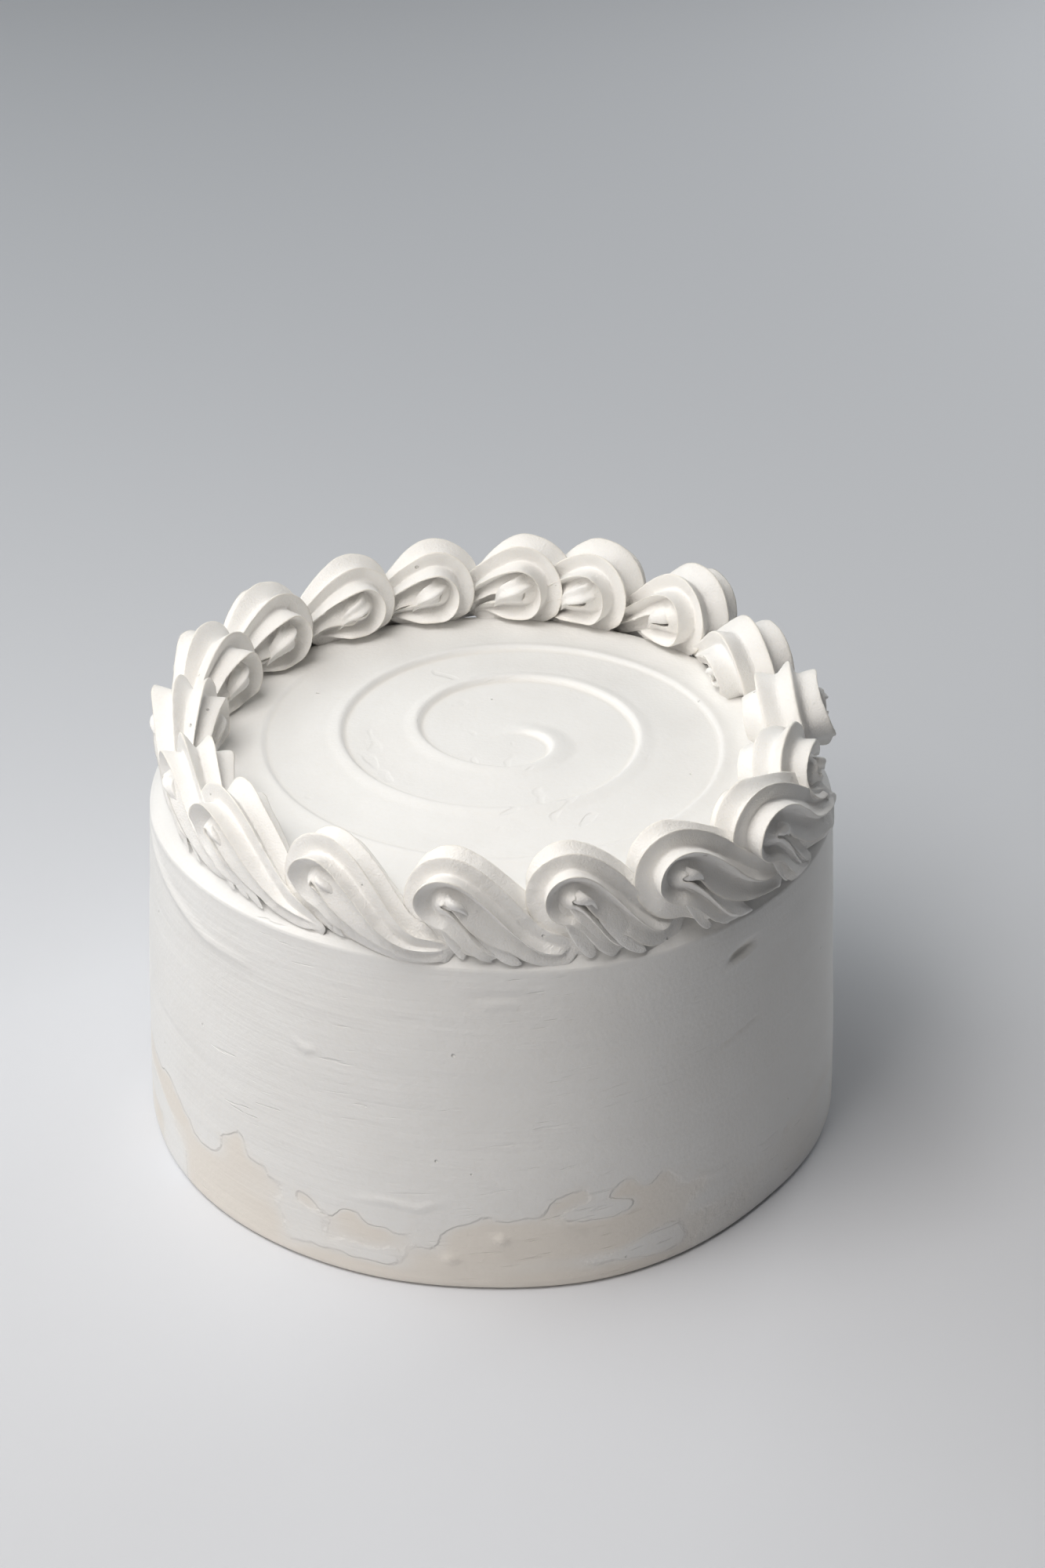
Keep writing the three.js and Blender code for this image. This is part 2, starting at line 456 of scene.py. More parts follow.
@dataclass(frozen=True)
class SpatulaDrag:
    """A spatula's marks on the cake's side: long level drags and short thin scratches. Scales
    are features in a metre, depths are in metres, and the slant is in degrees."""

    long_scale: Triple = (9.0, 9.0, 260.0)
    long_detail: float = 3.0
    fine_scale: Triple = (30.0, 30.0, 900.0)
    fine_detail: float = 2.0
    fine_share: float = 0.35
    drag_depth: float = 0.00022
    scratch_scale: Triple = (75.0, 75.0, 800.0)
    scratch_slant: float = 7.0
    scratch_edge: Pair = (0.66, 0.75)
    scratch_depth: float = 0.00022
    patch_scale: float = 26.0
    patch_edge: Pair = (0.45, 0.66)

    def build(self) -> NodeTree:
        """Make the node group.

        Returns:
            A group with the input Strength and the output Height, in metres.
        """
        wire = Wiring.group("spatula_drag", ("Strength",))
        place = wire.place()
        long_marks = wire.noise(wire.mapped(place, "Scale", self.long_scale), 1.0, self.long_detail)
        fine_marks = wire.noise(wire.mapped(place, "Scale", self.fine_scale), 1.0, self.fine_detail)
        both = wire.math("MULTIPLY_ADD", fine_marks, self.fine_share, long_marks)
        dragged = wire.math("MULTIPLY", both, self.drag_depth)
        slanted = wire.mapped(place, "Rotation", (0.0, math.radians(self.scratch_slant), 0.0))
        short = wire.noise(wire.mapped(slanted, "Scale", self.scratch_scale), 1.0, 1.0)
        sparse = wire.ease(wire.noise(place, self.patch_scale, 1.0), *self.patch_edge)
        scratches = wire.math("MULTIPLY", wire.ease(short, *self.scratch_edge), sparse)
        marked = wire.math("MULTIPLY_ADD", scratches, -self.scratch_depth, dragged)
        return wire.result(Height=wire.math("MULTIPLY", marked, wire.given("Strength")))


@dataclass(frozen=True)
class CreamFinish:
    """A white cream. Colours are (red, green, blue) in linear light, scales are features in a
    metre, and layer_step is the top layer's thickness in metres. The hollow colour is painted
    shade, for creases, the grain's low spots and air pits."""

    name: str
    light: Triple
    shade: Triple
    # Painted shade: the darker, warmer colour for creases, the grain's low spots and pits.
    hollow: Triple
    sponge_glow: Triple
    roughness: float
    grain_scale: float
    grain_depth: float
    pit_share: float
    drag: float
    speckle: float
    layer_step: float
    rough_spread: float = 0.14
    specular: float = 0.42
    torn_scale: float = 150.0
    torn_detail: float = 4.0
    torn_share: float = 0.55
    torn_edge: Pair = (0.46, 0.6)
    patch_scale: float = 34.0
    patch_detail: float = 3.0
    patch_edge: Pair = (0.35, 0.7)
    thin_warmth: float = 0.7
    bared_warmth: float = 0.35
    speckle_edge: Pair = (0.52, 0.34)
    pit_shade: float = 0.2

    def material(self, grain: NodeTree, drag: NodeTree) -> Material:
        """Make the cream's material.

        Args:
            grain: The whipped grain group.
            drag: The spatula drag group.

        Returns:
            The material.
        """
        made = bpy.data.materials.new(self.name)
        made.use_nodes = True
        wire = Wiring(made.node_tree)
        sizes = {
            "Grain Scale": self.grain_scale,
            "Grain Depth": self.grain_depth,
            "Pit Share": self.pit_share,
        }
        grained = wire.node("ShaderNodeGroup", sizes, node_tree=grain)
        dragged = wire.node("ShaderNodeGroup", {"Strength": self.drag}, node_tree=drag)
        bared = self._bared(wire)
        smoothest = self.roughness - self.rough_spread / 2.0
        rough = wire.math("MULTIPLY_ADD", grained.outputs["Grain"], self.rough_spread, smoothest)
        heights = wire.math("ADD", grained.outputs["Height"], dragged.outputs["Height"])
        heights = wire.math("MULTIPLY_ADD", bared, -self.layer_step, heights)
        bump = wire.node("ShaderNodeBump", {"Height": heights, "Distance": 1.0})
        look = {
            "Base Color": self._colour(wire, grained, bared),
            "Roughness": rough,
            "Normal": bump.outputs["Normal"],
            "Specular IOR Level": self.specular,
        }
        wire.feed(made.node_tree.nodes["Principled BSDF"], look)
        return made

    def _bared(self, wire: Wiring) -> NodeSocket:
        """Mask where the top layer of cream is scraped off, with a torn edge."""
        torn = wire.noise(wire.place(), self.torn_scale, self.torn_detail)
        torn = wire.math("MULTIPLY_ADD", torn, self.torn_share, wire.mask("thin"))
        return wire.ease(torn, *self.torn_edge)

    def _colour(self, wire: Wiring, grained: Node, bared: NodeSocket) -> NodeSocket:
        """Mix the cream's colours, with painted shade in hollows, in the grain's low spots and in air pits.

        Args:
            wire: The material's wiring.
            grained: The whipped grain's node.
            bared: The mask of the scraped places.

        Returns:
            The colour.
        """
        patches = wire.ease(wire.noise(wire.place(), self.patch_scale, self.patch_detail), *self.patch_edge)
        warmth = wire.math("MULTIPLY_ADD", bared, self.bared_warmth, self.thin_warmth)
        # Painted shade in the grain's low spots, where the grain bump dips.
        speckle = wire.ease(grained.outputs["Grain"], *self.speckle_edge)
        layered = wire.mix(patches, (*self.light, 1.0), (*self.shade, 1.0))
        # Painted shade: darker, warmer colour deep in creases and hollows.
        layered = wire.mix(wire.mask("hollow"), layered, (*self.hollow, 1.0))
        warmed = wire.math("MULTIPLY", wire.mask("thin"), warmth)
        layered = wire.mix(warmed, layered, (*self.sponge_glow, 1.0))
        layered = wire.mix(wire.math("MULTIPLY", speckle, self.speckle), layered, (*self.hollow, 1.0))
        # Painted shade in the air pits.
        pitted = wire.math("MULTIPLY", grained.outputs["Pits"], self.pit_shade)
        return wire.mix(pitted, layered, (*self.hollow, 1.0))


SIDE_CREAM = CreamFinish(
    name="spread_cream",
    light=(0.905, 0.896, 0.876),
    shade=(0.885, 0.873, 0.85),
    # hollow is the painted crevice shade colour.
    hollow=(0.86, 0.81, 0.73),
    sponge_glow=(0.86, 0.785, 0.69),
    roughness=0.5,
    grain_scale=700.0,
    grain_depth=0.4,
    pit_share=0.06,
    drag=1.0,
    speckle=0.1,
    layer_step=0.0003,
)
SHELL_CREAM = CreamFinish(
    name="piped_cream",
    light=(0.935, 0.922, 0.9),
    shade=(0.925, 0.907, 0.88),
    # hollow is the painted crevice shade colour.
    hollow=(0.93, 0.885, 0.81),
    sponge_glow=(0.84, 0.765, 0.67),
    roughness=0.52,
    grain_scale=1600.0,
    grain_depth=0.85,
    pit_share=0.12,
    drag=0.0,
    speckle=0.3,
    layer_step=0.0,
)


# ---- The cake's body ----


@dataclass(frozen=True)
class Stroke:
    """A mark on the side: a smooth line through places given as (degrees, height in mm), with
    the mark's width and height in mm."""

    places: tuple[Pair, ...]
    width: float
    height: float
    mark: Mark
    samples: int = 24

    def relief(self, bearing: Array, height: Array, radius: float) -> Array:
        """How far the mark moves the side out, in mm.

        Args:
            bearing: Bearings in radians.
            height: Heights in mm.
            radius: The side's radius in mm.

        Returns:
            One number for each place.
        """
        spots = np.array(self.places, float)
        line = np.stack([np.radians(spots[:, 0]) * radius, spots[:, 1]], axis=1)
        fine = np.linspace(0.0, len(line) - 1.0, self.samples * len(line))
        smooth = np.stack([np.interp(fine, np.arange(len(line)), line[:, i]) for i in (0, 1)], axis=1)
        across = bearing * radius
        near = np.full(bearing.shape, np.inf)
        along = np.zeros(bearing.shape)
        for share, (x, y) in zip(np.linspace(0.0, 1.0, len(smooth)), smooth):
            gap = np.hypot(across - x, height - y)
            closer = gap < near
            near[closer] = gap[closer]
            along[closer] = share
        ends = np.sin(np.pi * np.clip(along, LEAST_END, 1.0 - LEAST_END)) ** 0.5
        return self.mark.value * self.height * ends * np.exp(-((near / self.width) ** 2))


@dataclass(frozen=True)
class Bulge:
    """A broad bulge of the side, or a dip where its depth is below 0. Angles in degrees."""

    bearing: float
    spread: float
    depth: float

    def at(self, bearing: Array) -> Array:
        """How far the side stands out at each bearing, in mm."""
        away = (bearing - math.radians(self.bearing)) / math.radians(self.spread)
        return self.depth * np.exp(-(away**2))


@dataclass(frozen=True)
class Wave:
    """A wave round the cake: its height in mm, its count and its phase in radians."""

    height: float
    count: float
    phase: float

    def at(self, bearing: Array) -> Array:
        """Height of the wave at each bearing, in mm."""
        return self.height * np.cos(self.count * bearing + self.phase)


@dataclass(frozen=True)
class SpiralTop:
    """The spiral turned into the flat top, clockwise as it runs outward. Sizes in mm, angles in
    degrees and places along the spiral in turns."""

    eye: Pair = (5.0, 13.0)
    drift: Pair = (0.8, -3.6)
    start_radius: float = 16.7
    pitch: float = 25.8
    crest: float = 1.7
    crest_start: Pair = (0.08, 0.2)
    rise: float = 2.0
    fall: float = 17.0
    bead: float = 5.0
    beaded: float = 0.4
    swell: float = 4.5
    swell_at: float = 0.2
    swell_spread: float = 0.14
    swell_end: Pair = (0.55, 1.0)
    hook_centre: Pair = (8.5, -1.5)
    hook_radius: float = 11.7
    hook_fall: float = 8.0
    hook_start: Pair = (-85.0, -45.0)
    hook_end: Pair = (45.0, 135.0)
    rim_fade: Pair = (64.0, 88.0)
    rounds: int = 4

    def relief(self, x: Array, y: Array) -> Array:
        """Height of the relief over the flat top.

        Args:
            x: Places along X in mm.
            y: Places along Y in mm.

        Returns:
            Heights in mm.
        """
        turns = np.zeros(x.shape)
        for _ in range(self.rounds):
            dx = x - self.eye[0] - self.drift[0] * turns
            dy = y - self.eye[1] - self.drift[1] * turns
            radius = np.hypot(dx, dy)
            turns = np.maximum((radius - self.start_radius) / self.pitch, 0.0)
        around = np.mod(np.arctan2(-dy, dx), TURN) / TURN
        swell = self.swell * np.exp(-(((around - self.swell_at) / self.swell_spread) ** 2))
        swell = swell * (1.0 - smoothstep(turns, *self.swell_end))
        phase = (radius - swell - self.start_radius) / self.pitch - around
        part = self.pitch * (phase - np.floor(phase))
        inner_turns = around + np.floor(phase)
        fall = 1.0 - smoothstep(part, 0.0, self.fall)
        fall += self.beaded * (1.0 - smoothstep(part, 0.0, self.bead) - fall)
        fall *= smoothstep(inner_turns, *self.crest_start)
        rise = smoothstep(inner_turns + 1.0, *self.crest_start)
        rise = rise * smoothstep(part, self.pitch - self.rise, self.pitch)
        fade = 1.0 - smoothstep(np.hypot(x, y), *self.rim_fade)
        return self.crest * np.maximum(fade * np.maximum(fall, rise), self._hook(x, y))

    def _hook(self, x: Array, y: Array) -> Array:
        """The spiral's first curl, round the eye, as a share of the crest."""
        dx, dy = x - self.hook_centre[0], y - self.hook_centre[1]
        turned = np.degrees(np.arctan2(dy, dx))
        strength = smoothstep(turned, *self.hook_start) * (1.0 - smoothstep(turned, *self.hook_end))
        gap = np.hypot(dx, dy) - self.hook_radius
        inside = smoothstep(gap, -self.rise, 0.0)
        outside = 1.0 - smoothstep(gap, 0.0, self.hook_fall)
        return strength * np.where(gap < 0.0, inside, outside)


@dataclass(frozen=True)
class CakeBody:
    """The cake under its smooth cream: side, lip, shoulder and top. Sizes in mm, and bearings
    in degrees."""

    base_radius: float
    top_height: float
    lip_inset: float = 6.0
    lip_drop: float = 13.0
    lip_round: float = 1.5
    lip_waves: tuple[Wave, ...] = (Wave(3.2, 1.0, math.radians(128.0)), Wave(0.9, 3.0, 0.5))
    taper_power: float = 1.25
    foot_inset: float = 1.4
    foot_round: float = 1.6
    bulges: tuple[Bulge | Wave, ...] = (
        Bulge(-72.0, 18.0, 1.6),
        Bulge(-40.0, 16.0, -1.5),
        Wave(0.5, 3.0, 0.8),
    )
    evened: float = 0.6
    wrap_radius: float = 116.0
    side_layers: tuple[Unevenness, ...] = (
        Unevenness((38.0, 38.0, 30.0), 0.35, 3),
        Unevenness((26.0, 26.0, 4.5), 0.1, 5),
    )
    flat_radius: float = 86.0
    eye_radius: float = 2.0
    top_layers: tuple[Unevenness, ...] = (
        Unevenness((30.0, 30.0, 30.0), 0.25, 8),
        Unevenness((6.0, 6.0, 6.0), 0.06, 9),
    )
    shoulder_power: float = 2.4
    shoulder_spread: float = 1.4
    shoulder_calm: float = 1.4
    shoulder_layer: Unevenness = Unevenness((7.0, 7.0, 7.0), 0.3, 12)
    thin_height: float = 27.0
    thin_layers: tuple[Unevenness, ...] = (
        Unevenness((26.0, 26.0, 26.0), 9.0, 21),
        Unevenness((7.0, 7.0, 7.0), 5.0, 22),
    )
    thin_fade: float = 3.0
    thin_start: Pair = (-178.0, -160.0)
    thin_end: Pair = (-72.0, -40.0)
    thin_elsewhere: float = 0.3
    thin_patches: Unevenness = Unevenness((18.0, 18.0, 9.0), 1.0, 23)
    thin_patch: Pair = (-0.6, 0.1)
    thinnest: float = 0.66
    # How deep a crease must be for full painted shade, and how strongly that shade shows.
    hollow_depth: float = 0.9
    hollow_share: float = 0.5
    front_segments: int = 300
    back_segments: int = 100
    side_rings: int = 100
    shoulder_rings: int = 24
    top_ring_step: float = 0.7
    spiral: SpiralTop = SpiralTop()
    strokes: tuple[Stroke, ...] = (
        Stroke(((-49.0, 100.3), (-46.0, 101.1), (-42.8, 102.3)), 1.8, 1.7, Mark.GROOVE),
        Stroke(((-49.2, 98.1), (-46.0, 98.7), (-42.6, 100.1)), 0.9, 0.8, Mark.RIDGE),
        Stroke(((-53.2, 70.5), (-47.0, 72.5), (-40.7, 75.0)), 0.7, 0.6, Mark.GROOVE),
        Stroke(((-121.8, 80.5), (-119.6, 78.0), (-117.4, 79.4)), 0.9, 0.7, Mark.RIDGE),
        Stroke(((-94.0, 105.2), (-88.0, 105.9), (-80.0, 104.6)), 0.8, 0.35, Mark.GROOVE),
        Stroke(((-92.0, 102.4), (-85.0, 102.9)), 0.8, 0.3, Mark.RIDGE),
        Stroke(((-111.3, 29.4), (-106.0, 30.6), (-101.0, 29.4), (-97.5, 31.8)), 0.9, 0.6, Mark.RIDGE),
        Stroke(((-80.8, 28.6), (-79.0, 24.0), (-77.2, 22.4), (-75.3, 19.6)), 0.9, 0.6, Mark.RIDGE),
        Stroke(((-56.3, 28.3), (-52.6, 25.8), (-49.1, 24.7)), 0.9, 0.5, Mark.RIDGE),
        Stroke(((-88.9, 19.6), (-87.1, 19.4)), 1.6, 1.0, Mark.RIDGE),
        Stroke(((-97.0, 11.9), (-94.6, 11.6)), 1.5, 0.9, Mark.RIDGE),
        Stroke(
            ((-168.0, 112.0), (-159.4, 107.2), (-150.0, 103.2), (-141.0, 99.7), (-131.0, 99.2)),
            1.5, 1.0, Mark.RIDGE,
        ),
    )

    def bearings(self) -> Array:
        """Bearings of the mesh's columns, closest together at the front."""
        front = np.linspace(-math.pi, 0.0, self.front_segments, endpoint=False)
        back = np.linspace(0.0, math.pi, self.back_segments, endpoint=False)
        return np.concatenate([front, back])

    def lip_height(self, bearing: Array) -> Array:
        """Height of the rim's lip, high at the front left and low at the right."""
        return sum((wave.at(bearing) for wave in self.lip_waves), self.top_height - self.lip_drop)

    def out_of_round(self, bearing: Array, height: Array) -> Array:
        """Swells and dips of the hand-spread side, which even out towards the top."""
        slack = 1.0 - self.evened * np.clip(height / self.top_height, 0.0, 1.0)
        return slack * sum(bulge.at(bearing) for bulge in self.bulges)

    def side_radius(self, bearing: Array, height: Array) -> Array:
        """Radius of the side, with its taper, swells, drag marks and strokes."""
        share = np.clip(height / (self.top_height - self.lip_drop), 0.0, 1.0) ** self.taper_power
        radius = self.base_radius - self.lip_inset * share + self.out_of_round(bearing, height)
        radius += relief_of(self.side_layers, in_round(self.wrap_radius, bearing, height))
        for stroke in self.strokes:
            radius += stroke.relief(bearing, height, self.base_radius)
        return radius

    def grid(self) -> Array:
        """Place the rings of the side, the lip, the shoulder and the top.

        Returns:
            Points in mm, as [ring, column, xyz].
        """
        column = self.bearings()
        lip = self.lip_height(column)
        rings = []
        for share in np.linspace(0.0, 1.0, self.side_rings):
            height = share * (lip - self.lip_round)
            edge = self.foot_inset * (1.0 - smoothstep(height, 0.0, self.foot_round))
            rings.append((self.side_radius(column, height) - edge, height))
        rings += self._shoulder(column, lip, rings[-1][0])
        count = int((self.flat_radius - self.eye_radius) / self.top_ring_step)
        for share in np.linspace(0.0, 1.0, count + 1)[1:]:
            inward = share * (self.eye_radius - self.flat_radius)
            radius = np.full(column.shape, self.flat_radius + inward)
            rings.append((radius, self._top(column, radius)))
        return np.stack([in_round(radius, column, height) for radius, height in rings])

    def _top(self, bearing: Array, radius: Array) -> Array:
        """Height of the top at each place."""
        place = in_round(radius, bearing, np.zeros(bearing.shape))
        relief = self.spiral.relief(place[:, 0], place[:, 1])
        return self.top_height + relief + relief_of(self.top_layers, place)

    def _shoulder(self, bearing: Array, lip: Array, side: Array) -> list[tuple[Array, Array]]:
        """Lay rings from the lip over the sloping shoulder to the flat top.

        Args:
            bearing: The columns' bearings.
            lip: The lip's height at each.
            side: The side's radius under the lip at each.

        Returns:
            Each ring's radii and heights.
        """
        rings = []
        edge_top = self._top(bearing, np.full(bearing.shape, self.flat_radius))
        for share in np.linspace(0.0, 1.0, self.shoulder_rings + 1)[1:]:
            inward = share**self.shoulder_spread
            radius = side + (self.flat_radius - side) * inward
            rise = 1.0 - (1.0 - inward) ** self.shoulder_power
            height = lip - self.lip_round + (edge_top - lip + self.lip_round) * rise
            calm = math.sin(math.pi * min(share * self.shoulder_calm, 1.0))
            wave = self.shoulder_layer.at(in_round(radius, bearing, height)) * calm
            rings.append((radius, height + wave))
        return rings

    def lip_radius(self, x: Array, y: Array) -> Array:
        """Radius of the side at its lip, towards each place given in mm."""
        bearing = np.arctan2(y, x)
        lip = self.lip_height(bearing) - self.lip_round
        return self.base_radius - self.lip_inset + self.out_of_round(bearing, lip)

    def shoulder_drop(self, x: Array, y: Array, past_slope: float = 0.6) -> Array:
        """How far the shoulder lies under the flat top, going on past the side.

        Args:
            x: Places along X in mm.
            y: Places along Y in mm.
            past_slope: How steeply the drop grows past the side.

        Returns:
            Drops in mm.
        """
        bearing, radius = np.arctan2(y, x), np.hypot(x, y)
        side = self.lip_radius(x, y)
        inward = np.clip((side - radius) / (side - self.flat_radius), 0.0, 1.0)
        full = self.top_height - self.lip_height(bearing) + self.lip_round
        past = np.clip(radius - side, 0.0, None)
        return full * (1.0 - inward) ** self.shoulder_power + past_slope * past

    def skin_height(self, x: Array, y: Array) -> Array:
        """Height of the flat top and its shoulder, rising past the side to carry an overhang."""
        return self.top_height - self.shoulder_drop(x, y, past_slope=-0.7)

    def thin_mask(self, points: Array) -> Array:
        """Where the cream is thin enough for the sponge to warm it: low on the front left.

        Args:
            points: Vertices in mm.

        Returns:
            0 where the cream is thick, up to 1.
        """
        bearing = np.degrees(np.arctan2(points[:, 1], points[:, 0]))
        reach = relief_of(self.thin_layers, points, self.thin_height)
        low = 1.0 - smoothstep(points[:, 2], reach - self.thin_fade, reach + self.thin_fade)
        left = smoothstep(bearing, *self.thin_start) * (1.0 - smoothstep(bearing, *self.thin_end))
        patch = smoothstep(self.thin_patches.at(points), *self.thin_patch)
        return low * np.maximum(left, self.thin_elsewhere) * patch * self.thinnest

    def build(self, material: Material) -> None:
        """Make the body, put its material on and tie it to its CAD node.

        Args:
            material: The spread cream.
        """
        grid = self.grid() * MM
        mesh = mesh_from_grid("cake_body", grid, np.zeros(3), grid[-1].mean(axis=0))
        points = read_points(mesh)
        write_mask(mesh, "thin", self.thin_mask(points / MM))
        # Mask for the painted shade in the side's creases and marks.
        hollow = cavity_mask(points, read_normals(mesh), read_edges(mesh), self.hollow_depth * MM)
        write_mask(mesh, "hollow", self.hollow_share * hollow)
        write_points(mesh, points)
        mesh.materials.append(material)
        body = put_in_scene("cake_body", mesh)
        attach(body, ROOT_BODY)
        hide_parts("cake")


# ---- The piped shells ----


@dataclass(frozen=True)
class Hand:
    """How one shell is piped. Lengths in mm, and angles in degrees."""

    depth: float = 0.0
    width: float = 0.0
    hook: float = 0.0
    scroll: float = 0.0
    lean: float = 0.0
    yaw: float = 0.0
    phase: float = 0.0
    tilt: float = 0.0
    reach: float = 0.0
    swing: float = 0.0
    tail: float = 0.0
    outward: float = 0.0
    nudge: float = 0.0
    twist: float = 0.0
    start: float = 0.0
    start_out: float = 0.0
    fall: float = 0.0
    lift: float = 0.0
    bow: float = 0.0
    shallow: float = 0.0
    tongue: float = 0.0
    tongue_ribs: float = 0.0
    tongue_curl: float = 0.0
    leaf_size: float = 0.0
    leaf_swing: float = 0.0

    def plus(self, other: "Hand", share: float = 1.0) -> "Hand":
        """Add a share of another hand's values to these."""
        sums = {f.name: getattr(self, f.name) + share * getattr(other, f.name) for f in fields(self)}
        return Hand(**sums)


def swept_fold(line: Array, looks: Array, size: Array, long: float, curl: Array, ribs: int) -> Array:
    """Sweep a flattened section with a few ribs along a line.

    Args:
        line: Places as [step, (along, out, up)], in mm.
        looks: The direction the fold's face looks.
        size: Half the fold's thickness at each step, in mm.
        long: Its breadth over its thickness.
        curl: How far each step's section is turned, in radians.
        ribs: How many ribs run along the fold.

    Returns:
        Points as [step, place round the fold, (along, out, up)].
    """
    step = unit(np.gradient(line, axis=0))
    upper = unit(np.broadcast_to(looks, step.shape) - (step @ looks)[:, None] * step)
    turn = np.linspace(0.0, TURN, FOLD_AROUND, endpoint=False)[None, :]
    deep = FOLD_GROOVE + FOLD_GROOVE_BY_RIBS * ribs
    shape = size[:, None] * (1.0 - deep * np.abs(np.cos(0.5 * ribs * turn + curl[:, None])))
    return swept(line, upper, np.cross(step, upper), shape * np.cos(turn), long * shape * np.sin(turn))


@dataclass(frozen=True)
class Leaf:
    """A fold of cream let go under a shell's hook. Places are (along, out, up) in mm: the root's
    up is from the scroll's middle, and the tip's from the cake."""

    root: Triple
    tip: Triple
    breadth: float
    bulge: float
    steps: int = 34
    ribs: int = 3
    long: float = 1.5
    thickness: float = 0.86
    looks: Triple = (0.0, 0.7, 0.7)
    stray: float = 0.8
    root_stray: Triple = (1.0, 0.4, 1.0)
    tip_stray: Triple = (1.6, 0.6, 0.3)
    sizes: Pair = (0.8, 1.2)
    waist: float = 0.7
    belly: float = 0.42
    belly_power: float = 1.1
    root_round: float = 0.08
    tip_power: float = 3.5
    curl: float = 0.7
    curl_stray: float = 0.4
    shrink: float = 0.5
    rests_from: float = 0.1

    def line(self, scroll: float, moved: Array, share: Array) -> Array:
        """Middle line of the leaf.

        Args:
            scroll: Height of the scroll's middle in mm.
            moved: How far the root and the tip are moved, as [end, (along, out, up)].
            share: Shares of the way along the leaf.

        Returns:
            Places as [step, (along, out, up)].
        """
        root = np.array(self.root) + moved[0]
        root[2] += scroll
        tip = np.array(self.tip) + moved[1]
        bend = 0.6 * root + 0.4 * tip
        bend[1:] = 0.4 * root[1] + 0.6 * tip[1] + self.bulge, 0.6 * root[2] + 0.4 * tip[2]
        away = share[:, None]
        return (1.0 - away) ** 2 * root + 2.0 * away * (1.0 - away) * bend + away**2 * tip

    def sweep(self, hand: Hand, room: float, rng: np.random.Generator) -> tuple[Array, Array]:
        """Shape the leaf.

        Args:
            hand: How its shell is piped.
            room: How far out it may reach, in mm.
            rng: Draws how this leaf differs from its kind.

        Returns:
            Points as [step, place round the leaf, (along, out, up)], and how closely each step
            follows the cake's shoulder.
        """
        share = np.linspace(0.0, 1.0, self.steps)
        size = hand.leaf_size
        moved = rng.uniform(-self.stray, self.stray, (2, 3)) * np.array([self.root_stray, self.tip_stray])
        moved[1, 0] += hand.leaf_swing
        moved[1, :2] -= self.shrink * (1.0 - size) * (np.array(self.tip) - np.array(self.root))[:2]
        moved[1, 1] = min(moved[1, 1], room - self.tip[1] - self.bulge)
        line = self.line(hand.scroll, moved, share)
        belly = self.waist + self.belly * np.sin(math.pi * share**self.belly_power)
        full = size * self.breadth * rng.uniform(*self.sizes) * belly
        ends = rounded_end(share / self.root_round) * rounded_end(1.0 - share**self.tip_power)
        curl = self.curl * share + rng.uniform(-self.curl_stray, self.curl_stray)
        thick = full * ends * self.thickness
        fold = swept_fold(line, np.array(self.looks), thick, self.long, curl, self.ribs)
        return fold, smoothstep(share, self.rests_from, 1.0)


LEAVES: tuple[Leaf, ...] = (
    Leaf(root=(-5.0, 1.5, 0.5), tip=(2.5, 9.8, 1.2), breadth=3.0, bulge=1.6),
    Leaf(root=(-3.0, 1.5, 0.5), tip=(10.0, 10.4, 1.2), breadth=3.6, bulge=2.0),
    Leaf(root=(1.5, 1.5, -0.5), tip=(16.5, 9.6, 1.2), breadth=3.1, bulge=1.6),
)


@dataclass(frozen=True)
class Tongue:
    """The cream that the hook closes on: a bar through the scroll, drooping at both ends.
    Lengths are shares of the hook's radius, and the slope is in degrees."""

    hand: Hand
    seed: int
    steps: int = 40
    long: float = 1.25
    reach: float = 0.76
    spread: Pair = (-0.5, 0.62)
    level: float = 0.34
    fall: float = 1.7
    fall_power: float = 1.3
    slope: float = 40.0
    arch: float = 0.28
    ahead: float = 0.1
    above: float = 0.12
    drawn_in: float = 0.22
    taper: float = 0.88
    taper_power: float = 1.4
    tip_power: int = 6
    smoothing: int = 3

    def sweep(self) -> Array:
        """Shape the tongue.

        Returns:
            Points as [step, place round the bar, (along, out, up)].
        """
        hand = self.hand
        rng = np.random.default_rng(self.seed + Draw.TONGUE.value)
        share = np.linspace(-1.0, 1.0, self.steps)
        reach = np.abs(share)
        across = np.sign(share) * smoothstep(reach, *self.spread) * self.reach * hand.width
        droop = np.clip((reach - self.level) / (1.0 - self.level), 0.0, 1.0)
        slope = math.radians(self.slope)
        away = np.array([math.cos(slope), 0.0, -math.sin(slope)])
        lifted = np.array([math.sin(slope), 0.0, math.cos(slope)])
        fall = self.fall * hand.hook * droop**self.fall_power
        arch = self.arch * hand.hook * np.sin(math.pi * droop)
        line = fall[:, None] * away + arch[:, None] * lifted
        line += np.array([self.ahead * hand.hook, 0.0, hand.scroll + self.above * hand.hook])
        line[:, 1] = across * (1.0 - self.drawn_in * droop**2)
        line = smoothed(line, self.smoothing)
        tapered = (1.0 - self.taper * droop**self.taper_power) * rounded_end(1.0 - reach**self.tip_power)
        curl = hand.tongue_curl * share + rng.uniform(0.0, TURN)
        thick = hand.tongue * hand.hook * tapered
        return swept_fold(line, lifted, thick, self.long, curl, round(hand.tongue_ribs))


